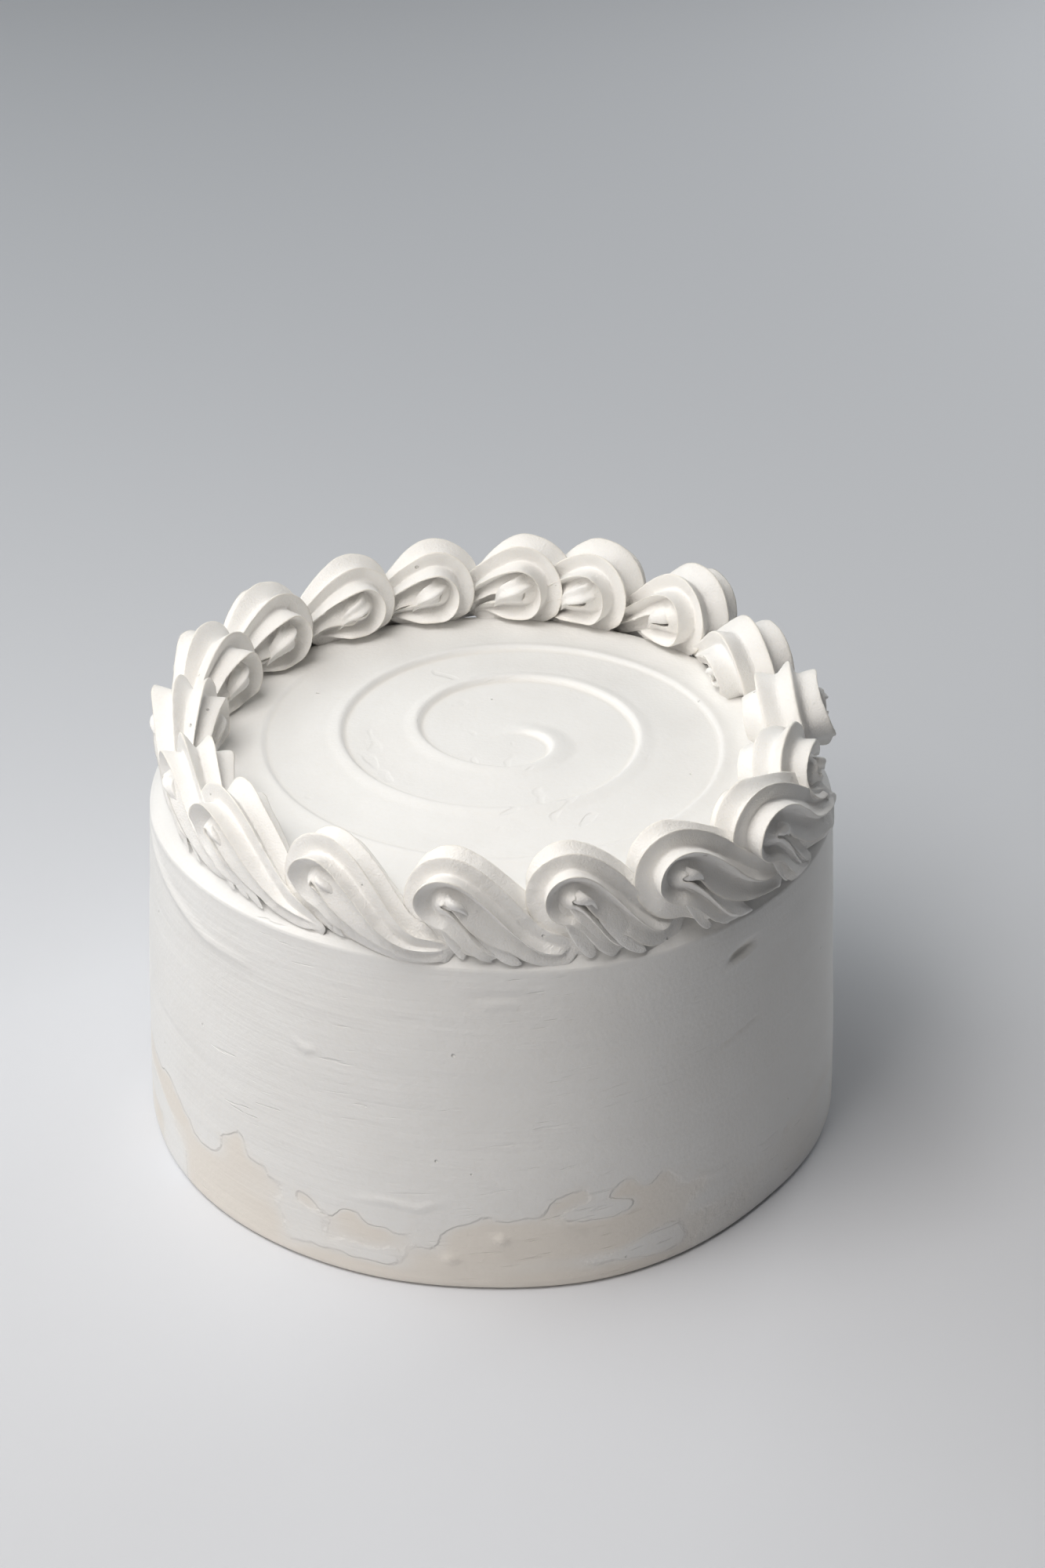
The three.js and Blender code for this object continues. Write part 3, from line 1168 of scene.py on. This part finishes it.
@dataclass(frozen=True)
class StarRope:
    """A rope of cream from a star tip, hooked over itself into a head and pulled out into a
    tail. Lengths in mm, in the shell's own frame: along the ring, out and up."""

    hand: Hand
    seed: int
    steps: int = 146
    around: int = 128
    lead_share: float = 0.2
    hook_share: float = 0.36
    smoothing: int = 12
    start_drop: float = 1.5
    start_power: float = 1.3
    bow_power: float = 1.4
    fall_from: float = -0.15
    points: int = 8
    groove: float = 0.57
    tail_groove: float = 0.6
    start_groove: float = 0.76
    start_blend: Pair = (0.1, 0.9)
    tail_blend: Pair = (0.1, 0.5)
    crest_sharpness: float = 0.9
    start_sharpness: float = 1.3
    crest_round: float = 0.1
    crest_pull: float = 0.55
    rib_strengths: Pair = (0.93, 1.05)
    rib_ends: Pair = (0.84, 1.0)
    rib_begins: Pair = (0.05, 0.5)
    rib_tip: float = 0.16
    rib_bud: float = 0.3
    rib_growth: float = 0.45
    bud_power: float = 1.5
    ruffles: tuple[Triple, ...] = ((0.03, 11.0, 1.0), (0.018, 27.0, 2.0))
    start_size: float = 0.72
    start_round: float = 0.05
    tip_from: float = 0.8
    tip_power: float = 2.2
    tail_depth: float = 0.42
    tail_width: float = 0.3
    thinning: float = 1.2
    crushed: float = 0.1
    crushed_side: Pair = (0.05, 0.7)
    crushed_tail: float = 0.3
    tail_rests: float = 0.7
    lead_rests: float = 0.1

    def path(self) -> tuple[Array, Array, Array]:
        """Middle line of the rope.

        Returns:
            Places as [step, (along, out, up)], each step's share of the way into the hook,
            and its share of the tail.
        """
        hand = self.hand
        leading, hooking = int(self.steps * self.lead_share), int(self.steps * self.hook_share)
        trailing = self.steps - leading - hooking
        lead = np.linspace(0.0, 1.0, leading, endpoint=False)
        back = 1.0 - lead
        low = hand.scroll - hand.hook - self.start_drop * back
        lead_line = np.stack([hand.start * back, hand.start_out * back**self.start_power, low], axis=1)
        angle = np.radians(np.linspace(-90.0, -270.0, hooking, endpoint=False))
        hooked = hand.scroll + hand.hook * np.sin(angle)
        hook_line = np.stack([hand.hook * np.cos(angle), np.zeros(hooking), hooked], axis=1)
        tail = np.linspace(0.0, 1.0, trailing)
        fall = smoothstep(tail, self.fall_from, hand.fall)
        fall = (fall - fall[0]) / (fall[-1] - fall[0])
        top = hand.scroll + hand.hook
        aside = hand.swing * tail**3 + hand.bow * np.sin(math.pi * tail**self.bow_power)
        tail_line = np.stack([hand.reach * tail, aside, top + (hand.tail - top) * fall], axis=1)
        line = smoothed(np.concatenate([lead_line, hook_line, tail_line]), self.smoothing)
        leads = np.concatenate([lead, np.ones(hooking + trailing)])
        tails = np.concatenate([np.zeros(leading + hooking), tail])
        return line, leads, tails

    def star(self, turn: Array, lead: Array, tail: Array) -> Array:
        """Radius of the star section over its full radius.

        Args:
            turn: Angles from the first rib, as [step, place round the section].
            lead: Each step's share of the way into the hook.
            tail: Each step's share of the tail.

        Returns:
            Shares as [step, place round the section].
        """
        rng = np.random.default_rng(self.seed)
        crest = np.mod(turn * self.points / TURN, self.points)
        rib = np.round(crest).astype(int) % self.points
        strength = rng.uniform(*self.rib_strengths, self.points)[rib]
        wave = rng.uniform(0.0, TURN, self.points)[rib]
        ends = rng.uniform(*self.rib_ends, self.points)[rib]
        begins = rng.uniform(*self.rib_begins, self.points)[rib]
        steps = np.linspace(0.0, 1.0, turn.shape[0])[:, None]
        ruffle = sum(size * np.sin(steps * rate + shift * wave) for size, rate, shift in self.ruffles)
        rounding = self.crest_round + self.hand.shallow
        pointed = np.sqrt(np.sin(crest * math.pi) ** 2 + rounding**2) - rounding
        starting = (1.0 - smoothstep(lead, *self.start_blend))[:, None]
        trailing = smoothstep(tail, *self.tail_blend)[:, None]
        sharpness = self.crest_sharpness + (self.start_sharpness - self.crest_sharpness) * starting
        valley = np.clip(pointed, 0.0, 1.0) ** sharpness
        groove = self.groove + (self.start_groove - self.groove) * starting
        groove = groove + (self.tail_groove - self.groove) * trailing - self.hand.shallow
        tip = np.clip((tail[:, None] - ends + self.rib_tip) / self.rib_tip, 0.0, 1.0) ** 2
        bud = (begins + self.rib_bud - lead[:, None]) / self.rib_growth
        bud = np.clip(bud, 0.0, 1.0) ** self.bud_power
        crests = (1.0 - valley) * (strength + ruffle - 1.0 - groove * np.maximum(tip, bud))
        return 1.0 - groove * valley + crests

    def sweep(self) -> tuple[Array, Array, Array]:
        """Sweep the star along the path.

        Returns:
            Points as [step, place round the section, (along, out, up)], how closely each
            step follows the cake's shoulder, and its share of the tail.
        """
        hand = self.hand
        line, lead, tail = self.path()
        step = unit(np.gradient(line, axis=0))
        outside = np.stack([-step[:, 2], np.zeros(self.steps), step[:, 0]], axis=1)
        outside = unit(outside - np.sum(outside * step, axis=1, keepdims=True) * step)
        share = np.linspace(0.0, 1.0, self.steps)
        grown = self.start_size + (1.0 - self.start_size) * smoothstep(lead, 0.0, 1.0)
        tip = np.clip((tail - self.tip_from) / (1.0 - self.tip_from), 0.0, 1.0)
        blunt = rounded_end(share / self.start_round) * rounded_end(1.0 - tip**self.tip_power)
        thick = (grown * blunt * (1.0 - (1.0 - self.tail_depth) * tail**self.thinning))[:, None]
        broad = (grown * blunt * (1.0 - (1.0 - self.tail_width) * tail))[:, None]
        even = np.linspace(0.0, TURN, self.around, endpoint=False)[None, :]
        turned = even - self.crest_pull / self.points * np.sin(self.points * even)
        place = turned + math.radians(hand.phase) + math.radians(hand.twist) * (share - 0.5)[:, None]
        inside = smoothstep(-np.cos(place), *self.crushed_side)
        inside = inside * (1.0 - smoothstep(tail, 0.0, self.crushed_tail))[:, None]
        shape = self.star(np.broadcast_to(turned, place.shape), lead, tail) * (1.0 - self.crushed * inside)
        deep = hand.depth * thick * shape * np.cos(place)
        wide = hand.width * broad * shape * np.sin(place)
        points = swept(line, outside, np.cross(outside, step), *rotated(deep, wide, -hand.tilt))
        tail_follows = smoothstep(tail, 0.0, self.tail_rests)
        return points, np.maximum(tail_follows, 1.0 - smoothstep(lead, self.lead_rests, 1.0)), tail


@dataclass(frozen=True)
class PipedShell:
    """One shell in its place on the cake: its rope, its tongue and its leaves. Lengths in mm,
    and drag and torn are each the spacing and the depth of an unevenness."""

    name: str
    seed: int
    hand: Hand
    centre: Pair
    ring_radius: float
    bearing: float
    body: CakeBody
    least_leaf: float = 0.2
    free_height: float = 4.0
    high_up: float = 12.0
    gather_radius: float = 107.5
    gathered: float = 0.6
    sunk: float = 1.1
    least_depth: float = 0.1
    most_stretch: float = 2.2
    stretched_tail: Pair = (0.02, 0.2)
    tuck_height: float = 3.0
    round_height: float = 5.5
    rounded: float = 0.3
    smoothing: Pair = (0.5, -0.52)
    drag: Pair = (5.0, 0.16)
    torn: Pair = (1.7, 0.07)
    hollow_depth: float = 1.5
    pits: int = 9
    pit_hollow: float = 0.2
    pit_sizes: Pair = (0.55, 0.85)
    pit_depth: float = 0.7

    def room(self) -> float:
        """How far out the shell may reach before it passes the cake's lip, in mm."""
        x = self.centre[0] + self.ring_radius * math.cos(self.bearing)
        y = self.centre[1] + self.ring_radius * math.sin(self.bearing)
        lip = float(self.body.lip_radius(np.array(x), np.array(y)))
        return lip - math.hypot(x, y) - self.hand.outward

    def place_on_ring(self, points: Array, follow: Array) -> Array:
        """Take points from the shell's own frame to the cake's, with its ends on the slope.

        Args:
            points: Places as [step, place round the section, (along, out, up)], in mm.
            follow: How closely each step follows the cake's shoulder.

        Returns:
            The places in the cake's frame, in mm.
        """
        out, up = rotated(points[..., 1], points[..., 2], -self.hand.lean)
        along, out = rotated(points[..., 0], out, self.hand.yaw)
        radius = self.ring_radius + self.hand.outward + out
        low = 1.0 - smoothstep(up, self.free_height, self.high_up)
        radius = radius - self.gathered * low * np.clip(radius - self.gather_radius, 0.0, None)
        placed = in_round(radius, self.bearing + along / self.ring_radius, up)
        placed[..., :2] += self.centre
        sink = self.body.shoulder_drop(placed[..., 0], placed[..., 1]) * follow[:, None]
        placed[..., 2] = self.body.top_height + self.hand.lift + up - sink
        return placed

    def seat(self, points: Array) -> Array:
        """Height at which the shell sits in the cake's cream, under each place in mm."""
        return self.body.skin_height(points[..., 0], points[..., 1]) - self.sunk

    def settled(self, points: Array, tail: Array) -> Array:
        """Stretch the tail's lower half down until it rests on the cake.

        Args:
            points: Places as [step, place round the section, xyz], in mm.
            tail: Each step's share of the tail.

        Returns:
            The places, moved.
        """
        middle = points.mean(axis=1, keepdims=True)
        below = np.clip(middle[..., 2] - points[..., 2], 0.0, None)
        deepest = np.maximum(below.max(axis=1, keepdims=True), self.least_depth)
        wanted = np.clip((middle[..., 2] - self.seat(middle)) / deepest, 1.0, self.most_stretch)
        moved = points.copy()
        moved[..., 2] -= below * (wanted - 1.0) * smoothstep(tail, *self.stretched_tail)[:, None]
        low = 1.0 - smoothstep(moved[..., 2] - self.seat(moved), 0.0, self.round_height)
        moved[..., :2] += (self.rounded * low)[..., None] * (middle - moved)[..., :2]
        return moved

    def build(self, node: str, material: Material) -> None:
        """Make the shell, put its material on and tie it to its CAD node.

        Args:
            node: The CAD node that it stands for.
            material: The piped cream.
        """
        points, follow, tail = StarRope(self.hand, self.seed).sweep()
        grids = {"rope": self.settled(self.place_on_ring(points, follow), tail)}
        bar = Tongue(self.hand, self.seed).sweep()
        grids["tongue"] = self.place_on_ring(bar, np.zeros(len(bar)))
        rng = np.random.default_rng(self.seed + Draw.LEAVES.value)
        for i, leaf in enumerate(LEAVES if self.hand.leaf_size > self.least_leaf else ()):
            grids[f"leaf_{i}"] = self.place_on_ring(*leaf.sweep(self.hand, self.room(), rng))
        mesh = self._joined(grids)
        self._finish_surface(mesh)
        mesh.materials.append(material)
        shell = put_in_scene(self.name, mesh)
        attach(shell, ROOT_BODY)
        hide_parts(node)

    def _joined(self, grids: dict[str, Array]) -> Mesh:
        """Put the rope, its tongue and its leaves into one mesh, from their rings in mm."""
        joined = bmesh.new()
        for label, grid in grids.items():
            rings = grid[:, ::-1] * MM
            ends = rings[0].mean(axis=0), rings[-1].mean(axis=0)
            part = mesh_from_grid(f"{self.name}_{label}", rings, *ends)
            joined.from_mesh(part)
            bpy.data.meshes.remove(part)
        mesh = bpy.data.meshes.new(self.name)
        joined.to_mesh(mesh)
        joined.free()
        return mesh

    def _finish_surface(self, mesh: Mesh) -> None:
        """Press the shell onto the cake, tuck its edge in, roughen it and mark its hollows for the painted
        crevice shade.
        """
        points, edges = read_points(mesh) / MM, read_edges(mesh)
        radius = np.hypot(points[:, 0], points[:, 1])
        seat = self.seat(points)
        low = 1.0 - smoothstep(points[:, 2] - seat, 0.0, self.tuck_height)
        past = np.clip(radius - self.body.lip_radius(points[:, 0], points[:, 1]), 0.0, None)
        points[:, :2] *= (1.0 - low * past / radius)[:, None]
        points[:, 2] = np.maximum(points[:, 2], seat)
        for share in self.smoothing:
            points += share * (neighbour_mean(points, edges) - points)
        write_points(mesh, points * MM)
        normals = read_normals(mesh)
        # Hollow mask: keeps pits out of hollows and drives the painted crevice shade.
        hollow = cavity_mask(points, normals, edges, self.hollow_depth)
        write_mask(mesh, "hollow", hollow)
        height = self._roughness(points) - self._pits(points, hollow)
        write_points(mesh, (points + normals * height[:, None]) * MM)

    def _roughness(self, points: Array) -> Array:
        """Height in mm of the drag and the fine tears in the cream, at each vertex."""
        drag, torn = self.drag, self.torn
        layers = (
            Unevenness((drag[0],) * 3, drag[1], self.seed),
            Unevenness((torn[0],) * 3, torn[1], self.seed + Draw.TORN.value),
        )
        return relief_of(layers, points)

    def _pits(self, points: Array, hollow: Array) -> Array:
        """Depth in mm of the burst air bubbles, scattered where the shell isn't hollow."""
        rng = np.random.default_rng(self.seed + Draw.PITS.value)
        dent = np.zeros(len(points))
        for spot in rng.choice(np.flatnonzero(hollow < self.pit_hollow), self.pits):
            reach = rng.uniform(*self.pit_sizes)
            gap = np.linalg.norm(points - points[spot], axis=1) / reach
            dent += self.pit_depth * reach * np.exp(-(gap**2))
        return dent


FRONT_HAND = Hand(
    depth=10.0, width=11.2, hook=4.6, scroll=8.4, lean=-8.0, yaw=4.0, phase=22.0, reach=36.0,
    swing=-1.0, tail=2.0, outward=1.2, nudge=0.8, start=17.0, start_out=4.0, fall=0.85, bow=0.6,
    tongue=0.52, tongue_ribs=3.0, tongue_curl=2.2, leaf_size=1.0, leaf_swing=1.0,
)
BACK_HAND = Hand(
    depth=9.8, width=13.8, hook=7.2, scroll=11.4, lean=3.0, yaw=7.0, phase=25.0, tilt=8.0,
    reach=33.0, swing=-1.0, tail=3.0, outward=-0.5, start=20.0, start_out=-1.5, fall=1.1,
    tongue=0.7, tongue_ribs=5.0, tongue_curl=3.8, leaf_swing=2.0,
)
TOUCHES: dict[str, Hand] = {
    "shell_01": Hand(
        nudge=2.0, swing=4.5, reach=6.0, outward=2.4, tongue=-0.1, leaf_size=-0.3, leaf_swing=7.0,
    ),
    "shell_02": Hand(
        nudge=2.2, bow=4.0, swing=1.0, reach=3.0, tail=1.0, outward=2.4, tongue=-0.08, leaf_size=-0.3,
        leaf_swing=5.0,
    ),
    "shell_03": Hand(
        nudge=2.3, swing=2.0, reach=2.0, outward=1.5, leaf_size=-0.15, leaf_swing=3.0,
    ),
    "shell_04": Hand(nudge=1.6, leaf_swing=2.0),
    "shell_05": Hand(
        nudge=1.4, fall=0.3, tail=3.0, start=6.0, start_out=2.0, swing=2.0, reach=9.0,
        leaf_size=-0.1, leaf_swing=8.0,
    ),
    "shell_06": Hand(
        nudge=1.0, fall=0.5, tail=9.0, start=5.0, start_out=2.0, swing=7.0, depth=0.5, reach=12.0,
        leaf_size=-0.15, leaf_swing=9.0,
    ),
    "shell_07": Hand(
        width=2.0, outward=-4.0, lean=-11.0, fall=0.2, tail=3.0, start=-3.0, start_out=-3.0,
        shallow=0.1, leaf_size=-1.0,
    ),
    "shell_08": Hand(
        width=2.0, outward=-3.0, lean=-17.0, twist=-8.0, start=-8.0, shallow=0.16, hook=0.8,
        tongue=-0.15, leaf_size=-1.0,
    ),
    "shell_09": Hand(
        width=1.0, outward=-5.0, depth=-0.6, lift=-1.5, lean=-14.0, twist=-25.0, nudge=1.0,
        shallow=0.08, tongue=-0.3, tongue_ribs=-3.0, tongue_curl=-3.0, leaf_size=-1.0,
    ),
    "shell_10": Hand(nudge=1.8, tongue=-0.2, tongue_ribs=-3.0, tongue_curl=-3.0),
    "shell_11": Hand(nudge=1.0),
    "shell_13": Hand(nudge=1.5, hook=-0.8),
    "shell_14": Hand(nudge=3.0, hook=-0.8),
    "shell_15": Hand(nudge=2.0),
    "shell_16": Hand(nudge=4.0, leaf_size=-1.0),
    "shell_17": Hand(nudge=6.0, swing=3.0, tongue=-0.1, leaf_size=-0.2, leaf_swing=6.0),
    "shell_18": Hand(
        nudge=6.0, swing=4.0, reach=3.0, outward=1.0, tongue=-0.1, leaf_size=-0.2, leaf_swing=7.0,
    ),
}


@dataclass(frozen=True)
class ShellBorder:
    """The ring of shells around the rim, each with its crest where its CAD node has it."""

    body: CakeBody
    count: int = 18
    first_seed: int = 100
    crest_depth: float = 1.0 * MM

    def node_names(self) -> list[str]:
        """Names of the shells' CAD nodes, in piping order."""
        return [f"shell_{i + 1:02d}" for i in range(self.count)]

    def crest(self, node: str) -> Array:
        """Middle of a node's highest part, as x and y in mm."""
        points = read_points(frame["nodes"][node].data)
        high = points[points[:, 2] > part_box(node)[1].z - self.crest_depth]
        return high[:, :2].mean(axis=0) / MM

    def hand(self, node: str, bearing: float) -> Hand:
        """The hand that pipes a shell: the front's, the back's or one between, with its touch."""
        front = float(smoothstep(0.5 - 0.5 * math.sin(bearing), 0.0, 1.0))
        blended = BACK_HAND.plus(FRONT_HAND, front).plus(BACK_HAND, -front)
        return blended.plus(TOUCHES.get(node, Hand()))

    def build(self, material: Material) -> None:
        """Pipe every shell.

        Args:
            material: The piped cream.
        """
        crests = {name: self.crest(name) for name in self.node_names()}
        lows = np.array([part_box(name)[0][:2] for name in crests]).min(axis=0) / MM
        highs = np.array([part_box(name)[1][:2] for name in crests]).max(axis=0) / MM
        centre = (lows + highs) / 2
        ring = float(np.mean([np.hypot(*(crest - centre)) for crest in crests.values()]))
        for i, (name, crest) in enumerate(crests.items()):
            bearing = math.atan2(crest[1] - centre[1], crest[0] - centre[0])
            hand = self.hand(name, bearing)
            shell = PipedShell(
                name=f"piped_{name}",
                seed=self.first_seed + i,
                hand=hand,
                centre=(float(centre[0]), float(centre[1])),
                ring_radius=ring,
                bearing=bearing + math.radians(hand.nudge),
                body=self.body,
            )
            shell.build(name, material)
            LOG.info("%s at %.1f degrees, ring %.1f mm", name, math.degrees(bearing), ring)
        LOG.info("ring centre %.1f, %.1f mm", *centre)


# ---- Studio ----


@dataclass(frozen=True)
class SoftLight:
    """A broad rectangular light turned to the cake. Lengths in metres, and power in watts."""

    name: str
    place: Triple
    wide: float
    high: float
    power: float
    colour: Triple
    aim: Triple = (0.0, 0.0, 0.08)

    def hang(self) -> None:
        """Add the light to the scene."""
        lamp = bpy.data.lights.new(self.name, "AREA")
        lamp.shape = "RECTANGLE"
        lamp.size, lamp.size_y = self.wide, self.high
        lamp.energy = self.power
        lamp.color = self.colour
        hung = put_in_scene(self.name, lamp)
        hung.location = self.place
        towards = Vector(self.aim) - Vector(self.place)
        hung.rotation_euler = towards.to_track_quat("-Z", "Y").to_euler()


@dataclass(frozen=True)
class Studio:
    """A pale floor, soft lights and the camera. Lengths in metres, except the lens's in mm, and
    angles in degrees."""

    camera_place: Triple = (0.0079, -0.8014, 0.5805)
    pitch_down: float = 30.24
    yaw_right: float = 0.163
    roll: float = 0.195
    lens: float = 65.82
    sensor: float = 36.0
    floor_radius: float = 1.5
    floor_sides: int = 128
    floor_colour: Triple = (0.74, 0.75, 0.78)
    floor_roughness: float = 0.6
    dim_colour: Triple = (0.9, 0.93, 1.0)
    dim_strength: float = 0.012
    pale_colour: Triple = (0.55, 0.56, 0.58)
    pale_strength: float = 0.9
    lights: tuple[SoftLight, ...] = (
        SoftLight("left_window", (-1.6, 0.0, 1.0), 1.5, 1.2, 5.5, (0.96, 0.98, 1.0)),
        SoftLight("back_window", (-1.2, 1.2, 1.2), 1.3, 1.1, 5.9, (0.93, 0.98, 1.0)),
        SoftLight("near_window", (-1.2, -1.3, 1.0), 1.3, 1.1, 8.2, (1.0, 0.95, 0.9)),
        SoftLight("skylight", (-1.1, 0.2, 1.7), 1.3, 1.3, 5.7, (0.93, 0.99, 1.0)),
        SoftLight("lamp", (-0.2, -0.22, 0.72), 0.4, 0.4, 3.0, (1.0, 0.97, 0.94)),
        SoftLight("far_right", (1.0, 1.3, 0.8), 1.1, 1.0, 9.0, (0.97, 0.99, 1.0)),
    )

    def build(self) -> None:
        """Set up the floor, the lights, the surroundings and the camera."""
        self._floor()
        for light in self.lights:
            light.hang()
        self._surroundings()
        self._camera()
        bpy.context.scene.view_settings.view_transform = "Standard"

    def _floor(self) -> None:
        """Lay a plain round floor."""
        turns = np.linspace(0.0, TURN, self.floor_sides, endpoint=False)
        corners = [(self.floor_radius * math.cos(t), self.floor_radius * math.sin(t), 0.0) for t in turns]
        mesh = bpy.data.meshes.new("floor")
        mesh.from_pydata(corners, [], [tuple(range(self.floor_sides))])
        material = bpy.data.materials.new("pale_floor")
        material.use_nodes = True
        look = {"Base Color": (*self.floor_colour, 1.0), "Roughness": self.floor_roughness}
        Wiring(material.node_tree).feed(material.node_tree.nodes["Principled BSDF"], look)
        mesh.materials.append(material)
        floor = put_in_scene("floor", mesh)

    def _surroundings(self) -> None:
        """Light the shadows with a dim room, seen as a pale backdrop."""
        world = bpy.data.worlds.new("room")
        world.use_nodes = True
        wire, dim = Wiring(world.node_tree), world.node_tree.nodes["Background"]
        wire.feed(dim, {"Color": (*self.dim_colour, 1.0), "Strength": self.dim_strength})
        backdrop = {"Color": (*self.pale_colour, 1.0), "Strength": self.pale_strength}
        pale = wire.node("ShaderNodeBackground", backdrop)
        seen = wire.node("ShaderNodeLightPath", {}).outputs["Is Camera Ray"]
        both = {"Fac": seen, 1: dim.outputs["Background"], 2: pale.outputs["Background"]}
        chosen = wire.node("ShaderNodeMixShader", both)
        wire.feed(world.node_tree.nodes["World Output"], {"Surface": chosen.outputs["Shader"]})
        bpy.context.scene.world = world

    def _camera(self) -> None:
        """Place the camera."""
        data = bpy.data.cameras.new("camera")
        data.lens = self.lens
        data.sensor_width = self.sensor
        eye = put_in_scene("camera", data)
        eye.location = self.camera_place
        tilt = math.radians(90.0 - self.pitch_down)
        turn = Euler((tilt, 0.0, -math.radians(self.yaw_right)), "XYZ").to_quaternion()
        rolled = Euler((0.0, 0.0, math.radians(self.roll)), "XYZ").to_quaternion()
        eye.rotation_euler = (turn @ rolled).to_euler()
        bpy.context.scene.camera = eye


def main() -> None:
    """Build the cake and its studio."""
    logging.basicConfig(level=logging.INFO)
    Studio().build()
    grain, drag = WhippedGrain().build(), SpatulaDrag().build()
    low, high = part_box("cake")
    body = CakeBody(
        base_radius=(high.x - low.x) / 2 / MM - SWELL_ROOM,
        top_height=high.z / MM - SPIRAL_ROOM,
    )
    body.build(SIDE_CREAM.material(grain, drag))
    LOG.info("body: base radius %.1f mm, top %.1f mm", body.base_radius, body.top_height)
    ShellBorder(body).build(SHELL_CREAM.material(grain, drag))


if __name__ == "__main__":
    main()
